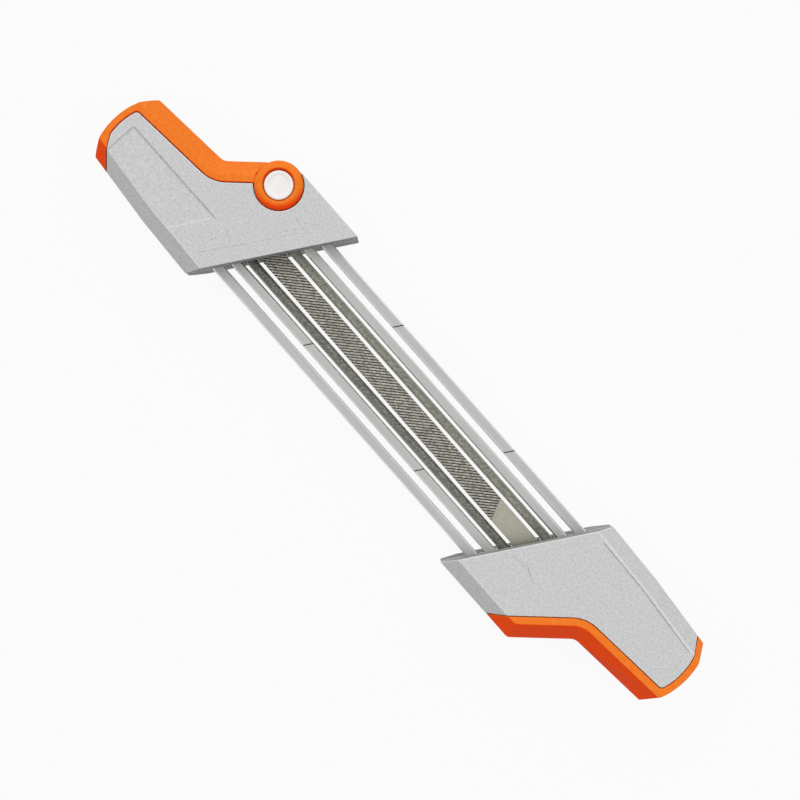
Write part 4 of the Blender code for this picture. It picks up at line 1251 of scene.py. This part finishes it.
@dataclass
class LatchHandle:
    """The handle whose cover lifts off to free the files."""

    edge_round: float = 0.4 * MM
    top: float = 26.0 * MM
    # The sunk bare panel in the grip: its plan at the bottom, its depth and how far it widens to the top
    panel_left: float = -152.0 * MM
    panel_right: float = -103.9 * MM
    panel_upper: float = -7.6 * MM
    panel_lower: float = -26.0 * MM
    panel_lean: float = 10.6 * MM
    panel_depth: float = 0.45 * MM
    panel_slope: float = 0.6 * MM
    # Between which shares of X, Y and Z the normal of the panel's slanting end lies
    slope_facing: tuple[Point, ...] = ((-0.9, -0.3), (0.1, 1.0), (0.2, 1.0))
    # The line along the panel, and the outline of a file and its guide beside the rails
    lines: tuple[MouldedLine, ...] = (
        (0.5, 0.5, ((-151.6, -7.0), (-102.9, -6.9))),
        (0.4, 0.2, ((-97.5, -21.2), (-91.6, -11.5), (-86.8, -4.0))),
        (0.4, 0.15, ((-98.4, -15.1), (-94.6, -7.7))),
        (0.4, 0.15, ((-96.6, -6.7), (-91.8, -9.1))),
        (0.4, 0.15, ((-90.2, -9.9), (-82.4, 3.9), (-76.6, 14.0))),
        (0.4, 0.15, ((-83.9, 5.2), (-77.6, 14.8))),
        (0.4, 0.15, ((-81.8, 17.3), (-73.8, 16.1))),
        (0.4, 0.15, ((-78.3, 18.0), (-73.2, 22.6))),
    )

    def build(self) -> None:
        """Makes the base and the cover."""
        # The rounded rims of both shells get the painted highlight
        base = soften(cad_mesh("latch_handle_base"), self.edge_round, rim=1)
        paint_end_shade(base, -1.0)
        hand_over("latch_base_shell", base, GREY_FINISHES, ["latch_handle_base"])
        cover = soften(cad_mesh("latch_handle_cover"), self.edge_round, rim=1)
        cover = carve_lines(carve(cover, self.panel()), self.lines, self.top)
        paint_end_shade(cover, -1.0)
        paint(cover, 1, self.in_slope)
        hand_over("latch_cover_shell", cover, GREY_FINISHES, ["latch_handle_cover"], Body.COVER)

    def in_slope(self, centre: Vector, normal: Vector) -> bool:
        """Whether a face is the panel's slanting end, which gets the rims' painted highlight."""
        facing = all(low < share < high for share, (low, high) in zip(normal, self.slope_facing))
        return facing and centre.z > self.top - self.panel_depth

    def panel(self) -> EditMesh:
        """The cutter of the panel, which is open towards the chamfer.

        Returns:
            The mesh.
        """
        rings = []
        lower = self.panel_lower
        for wider, height in ((0, -self.panel_depth), (1, 0.0), (2, self.panel_slope)):
            reach = self.panel_slope * wider
            left, right, upper = self.panel_left - reach, self.panel_right + reach, self.panel_upper + reach
            plan = ((left, lower), (right - self.panel_lean, lower), (right, upper), (left, upper))
            rings.append([(x, y, self.top + height) for x, y in plan])
        mesh = bmesh.new()
        add_faces(mesh, rings)
        return mesh


@dataclass
class LatchLever:
    """The orange lever with its ring, which swings clear of the cover."""

    edge_round: float = 0.4 * MM
    pivot: Point = (-96.3 * MM, 20.8 * MM)
    ring_radius: float = 10.0 * MM
    bore_radius: float = 6.2 * MM
    crown: float = 26.9 * MM
    crown_radius: float = 7.0 * MM
    crown_round: float = 2.0 * MM
    crown_steps: int = 16
    ring_low: float = 23.1 * MM
    ring_clear: float = 0.1 * MM
    tuck: float = 0.4 * MM
    roof: float = 23.5 * MM

    def build(self) -> None:
        """Rounds the arm and lays a finely turned ring over the faceted one."""
        mesh = soften(cad_mesh("latch_lever"), self.edge_round, crisp=self.stays_crisp)
        self.tuck_ring(mesh)
        merge(mesh, self.ring())
        hand_over("orange_latch_lever", mesh, [ORANGE_NYLON], ["latch_lever"], Body.LEVER)

    def from_pivot(self, vert: bmesh.types.BMVert) -> Vector:
        """A corner's place in plan, seen from the pivot."""
        return Vector((vert.co.x - self.pivot[0], vert.co.y - self.pivot[1]))

    def stays_crisp(self, edge: Edge) -> bool:
        """Whether an edge touches the ring, which has a rounding of its own, or the hollow's roof."""
        at_ring = min(self.from_pivot(vert).length for vert in edge.verts) < self.ring_radius + self.ring_clear
        return at_ring or all(abs(vert.co.z - self.roof) < self.ring_clear for vert in edge.verts)

    def tuck_ring(self, mesh: EditMesh) -> None:
        """Draws the faceted ring in a little, inside the one that is laid over it.

        Args:
            mesh: The lever.
        """
        core_radius = (self.ring_radius + self.bore_radius) / 2
        for vert in mesh.verts:
            away = self.from_pivot(vert)
            if away.length > self.ring_radius + self.ring_clear or vert.co.z < self.ring_low:
                continue
            target = away.normalized() * core_radius
            inward = Vector((target.x - away.x, target.y - away.y, self.ring_low + self.tuck - vert.co.z))
            if inward.length > self.tuck:
                vert.co += inward.normalized() * self.tuck

    def ring(self) -> EditMesh:
        """A ring whose crown lies near the bore and falls away outwards.

        Returns:
            The ring's mesh.
        """
        side_top = self.crown - self.crown_round
        section = [(self.bore_radius, self.ring_low), (self.ring_radius, self.ring_low)]
        for step in range(self.crown_steps + 1):
            turn = math.pi * step / self.crown_steps
            edge = self.ring_radius if turn < math.pi / 2 else self.bore_radius
            reach = abs(edge - self.crown_radius) * math.cos(turn)
            section.append((self.crown_radius + reach, side_top + self.crown_round * math.sin(turn)))
        return turned(section, self.pivot, capped=False)


@dataclass
class PivotSet:
    """The white-headed pin, its washer and its clip."""

    shank: float = 2.5 * MM
    head: float = 5.9 * MM
    head_low: float = 24.7 * MM
    rim: float = 26.5 * MM
    dish: float = 26.15 * MM
    rim_width: float = 1.0 * MM
    rim_round: float = 0.45 * MM
    rim_steps: int = 6
    plate_round: float = 0.12 * MM
    # Steps of the soft slope into the dish, as shares of its depth: inwards, then down
    dish_steps: tuple[Point, ...] = ((0.0, 0.0), (0.8, 0.12), (1.7, 0.5), (2.6, 0.88), (3.6, 1.0))

    def build(self) -> None:
        """Makes the three pieces."""
        low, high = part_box("pivot_pin")
        lip, drop = self.head - self.rim_width, self.rim - self.dish
        profile = [(self.shank, low.z), (self.shank, self.head_low), (self.head, self.head_low)]
        inner, under = self.head - self.rim_round, self.rim - self.rim_round
        for step in range(self.rim_steps + 1):
            turn = math.pi / 2 * step / self.rim_steps
            profile.append((inner + self.rim_round * math.cos(turn), under + self.rim_round * math.sin(turn)))
        profile += [(lip - drop * inwards, self.rim - drop * down) for inwards, down in self.dish_steps]
        pin = turned(profile, ((low.x + high.x) / 2, (low.y + high.y) / 2))
        hand_over("white_pivot_pin", pin, [WHITE_ACETAL], ["pivot_pin"], Body.COVER)
        for node in ("pivot_washer", "pivot_retaining_clip"):
            mesh = soften(cad_mesh(node), self.plate_round, 2)
            hand_over("plated_" + node, mesh, [ZINC_PLATE], [node], Body.COVER)


@dataclass
class Fasteners:
    """The screws and dowel pins, each kind grown from one Geometry Nodes tree."""

    # Height of the head and radius of the shank
    case_screw: Point = (2.0 * MM, 1.45 * MM)
    clamp_screw: Point = (1.3 * MM, 1.0 * MM)
    # The crown's share of the head's height, and how far it narrows
    crown_share: float = 0.4
    crown_top: float = 0.78
    # The cross recess, in shares of the head's radius and of the crown's height
    recess_width: float = 0.22
    recess_reach: float = 0.62
    recess_depth: float = 1.7
    chamfer: float = 0.25 * MM
    sides: int = 32

    def build(self) -> None:
        """Makes the case screws, heads down, the clamp screws, heads up, and the dowel pins."""
        kinds = (
            ("case_screws", "fixed_handle_screw_", self.case_screw, math.pi, 0.0),
            ("clamp_screws", "latch_clamp_screw_", self.clamp_screw, 0.0, 1.0),
        )
        for name, start, (head, shank), turn, rise in kinds:
            sizes = {"Head Height": head, "Shank Radius": shank, "Turn": turn}
            sizes |= {"Recess Width": self.recess_width, "Recess Reach": self.recess_reach}
            self.grow(name, nodes_named(start), sizes, self.screw, rise)
        sizes = {"Chamfer": self.chamfer, "Turn": 0.0}
        self.grow("rail_dowel_pins", nodes_named(part="_pin_"), sizes, self.dowel, 0.5)

    def grow(
        self, name: str, nodes: list[str], sizes: dict[str, float], shape: Callable[[NodeRecipe], Socket], rise: float
    ) -> None:
        """Grows a set of fasteners of one kind.

        Args:
            name: The piece's name.
            nodes: The CAD fasteners that they stand for.
            sizes: The tree's sizes besides the radius, the length and the number of sides.
            shape: Draws one fastener.
            rise: Where its origin lies, as a share of the way from its lower end to the upper one.
        """
        boxes = [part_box(node) for node in nodes]
        low, high = boxes[0]
        sizes |= {"Radius": (high.x - low.x) / 2, "Length": high.z - low.z, "Sides": self.sides}
        recipe = NodeRecipe(name, sizes, ZINC_PLATE)
        places = [((a.x + b.x) / 2, (a.y + b.y) / 2, a.z + (b.z - a.z) * rise) for a, b in boxes]
        stood = recipe.on_points(shape(recipe), recipe.size("Geometry"), recipe.vector(recipe.size("Turn")))
        hand_over(name, recipe.grow(stood, points_mesh(places)), [ZINC_PLATE], nodes)

    def screw(self, recipe: NodeRecipe) -> Socket:
        """A cross-recess screw that hangs from the top of its head.

        Args:
            recipe: The tree.

        Returns:
            The screw.
        """
        radius, height = recipe.size("Radius"), recipe.size("Head Height")
        crown = recipe.calc("MULTIPLY", height, self.crown_share)
        top = recipe.calc("MULTIPLY", radius, self.crown_top)
        dome = recipe.cone(radius, top, crown, recipe.calc("SUBTRACT", 0.0, crown))
        side = recipe.hanging_rod(radius, crown, height)
        stem = recipe.hanging_rod(recipe.size("Shank Radius"), height, recipe.size("Length"))
        width = recipe.calc("MULTIPLY", radius, recipe.size("Recess Width"))
        reach = recipe.calc("MULTIPLY", recipe.calc("MULTIPLY", radius, recipe.size("Recess Reach")), 2.0)
        depth = recipe.calc("MULTIPLY", crown, self.recess_depth)
        spans = [recipe.vector(x, y, depth) for x, y in ((reach, width), (width, reach))]
        cross = {"Mesh 1": dome, "Mesh 2": [recipe.add("GeometryNodeMeshCube", {"Size": span}) for span in spans]}
        cut = recipe.add("GeometryNodeMeshBoolean", cross, operation="DIFFERENCE", solver="EXACT")
        return recipe.add("GeometryNodeJoinGeometry", {0: [side, stem, cut]})

    def dowel(self, recipe: NodeRecipe) -> Socket:
        """A dowel pin with chamfered ends, about its middle.

        Args:
            recipe: The tree.

        Returns:
            The pin.
        """
        radius, chamfer = recipe.size("Radius"), recipe.size("Chamfer")
        tip = recipe.calc("SUBTRACT", radius, chamfer)
        half = recipe.calc("MULTIPLY", recipe.size("Length"), 0.5)
        shoulder = recipe.calc("SUBTRACT", half, chamfer)
        stem = recipe.hanging_rod(radius, recipe.calc("SUBTRACT", 0.0, shoulder), shoulder)
        lower = recipe.cone(tip, radius, chamfer, recipe.calc("SUBTRACT", 0.0, half))
        return recipe.add("GeometryNodeJoinGeometry", {0: [stem, recipe.cone(radius, tip, chamfer, shoulder), lower]})


@dataclass
class Seats:
    """What holds the files and rails inside the handles."""

    edge_round: float = 0.25 * MM

    def build(self) -> None:
        """Makes the file seats, the clamp plates and the pad."""
        rows = (
            ("fixed_file_seat", BLACK_NYLON, Slot.NYLON, Body.FRAME),
            ("latch_file_seat", BLACK_NYLON, Slot.NYLON, Body.FRAME),
            ("latch_rail_clamp_left", ZINC_PLATE, Slot.PLATED, Body.FRAME),
            ("latch_rail_clamp_right", ZINC_PLATE, Slot.PLATED, Body.FRAME),
            ("file_pressure_pad", BLACK_RUBBER, Slot.RUBBER, Body.COVER),
        )
        for node, finish, slot, body in rows:
            hand_over("dressed_" + node, soften(cad_mesh(node), self.edge_round, 2), [finish], [node], body)


@dataclass
class Studio:
    """Paper floor, dome of soft light and the camera above the tool."""

    floor_half: float = 2.5
    floor_drop: float = 0.05 * MM
    camera_height: float = 0.666
    clip: Point = (0.01, 20.0)
    lens: float = 72.05
    sensor: float = 36.0
    shift: Point = (0.0009, 0.0)
    right: Triple = (0.66239, 0.74914, 0.0)
    up: Triple = (-0.74914, 0.66239, 0.0)
    # Light from the side turned away, how much more comes from the bright side, and that side's tilt
    dome_low: float = 0.05
    dome_gain: float = 1.5
    dome_tilt: float = math.radians(27.0)

    def build(self) -> None:
        """Sets up the floor, the light and the camera."""
        self.floor()
        self.dome()
        self.camera()
        bpy.context.scene.view_settings.view_transform = "Standard"
        LOG.info("studio is set")

    def floor(self) -> None:
        """Lays the paper just under the handles."""
        mesh = bmesh.new()
        half = self.floor_half
        places = ((-half, -half), (half, -half), (half, half), (-half, half))
        mesh.faces.new([mesh.verts.new((x, y, -self.floor_drop)) for x, y in places])
        floor = temporary(mesh, "paper_floor")
        floor.data.materials.append(PAPER.make())

    def dome(self) -> None:
        """A soft sky, brightest overhead and a little towards the top of the photograph."""
        world = bpy.data.worlds.new("soft_dome")
        bpy.context.scene.world = world
        world.use_nodes = True
        world.node_tree.nodes.clear()
        work = TreeWork(world.node_tree)
        way = work.add("ShaderNodeTexCoord", output="Generated")
        bright = Vector(self.up) * math.sin(self.dome_tilt) + Vector((0, 0, math.cos(self.dome_tilt)))
        along = work.add("ShaderNodeVectorMath", {0: way, 1: bright}, "Value", operation="DOT_PRODUCT")
        span = {"Value": along, "To Min": self.dome_low, "To Max": self.dome_low + self.dome_gain}
        level = work.add("ShaderNodeMapRange", span)
        light, white = (work.add("ShaderNodeBackground", {"Color": WHITE, "Strength": s}) for s in (level, 1.0))
        mixed = work.add("ShaderNodeMixShader", {0: seen_share(work), 1: light, 2: white})
        add_node(work.tree, "ShaderNodeOutputWorld", {"Surface": mixed})

    def camera(self) -> None:
        """Looks straight down on the tool, turned as in the photograph."""
        data = bpy.data.cameras.new("photo_camera")
        data.lens, data.sensor_width = self.lens, self.sensor
        data.shift_x, data.shift_y = self.shift
        data.clip_start, data.clip_end = self.clip
        made = bpy.data.objects.new("photo_camera", data)
        bpy.context.scene.collection.objects.link(made)
        right, up = Vector(self.right).normalized(), Vector(self.up).normalized()
        turn = Matrix((right, up, right.cross(up))).transposed().to_4x4()
        made.matrix_world = Matrix.Translation((0.0, 0.0, self.camera_height)) @ turn
        bpy.context.scene.camera = made


def main() -> None:
    """Builds every sub-assembly in order."""
    logging.basicConfig(level=logging.INFO, format="%(name)s: %(message)s")
    for assembly in (
        GuideRails(),
        RoundFiles(),
        FlatFile(),
        FixedHandle(),
        LatchHandle(),
        LatchLever(),
        PivotSet(),
        Fasteners(),
        Seats(),
        Studio(),
    ):
        LOG.info("building %s", type(assembly).__name__)
        assembly.build()


if __name__ == "__main__":
    main()
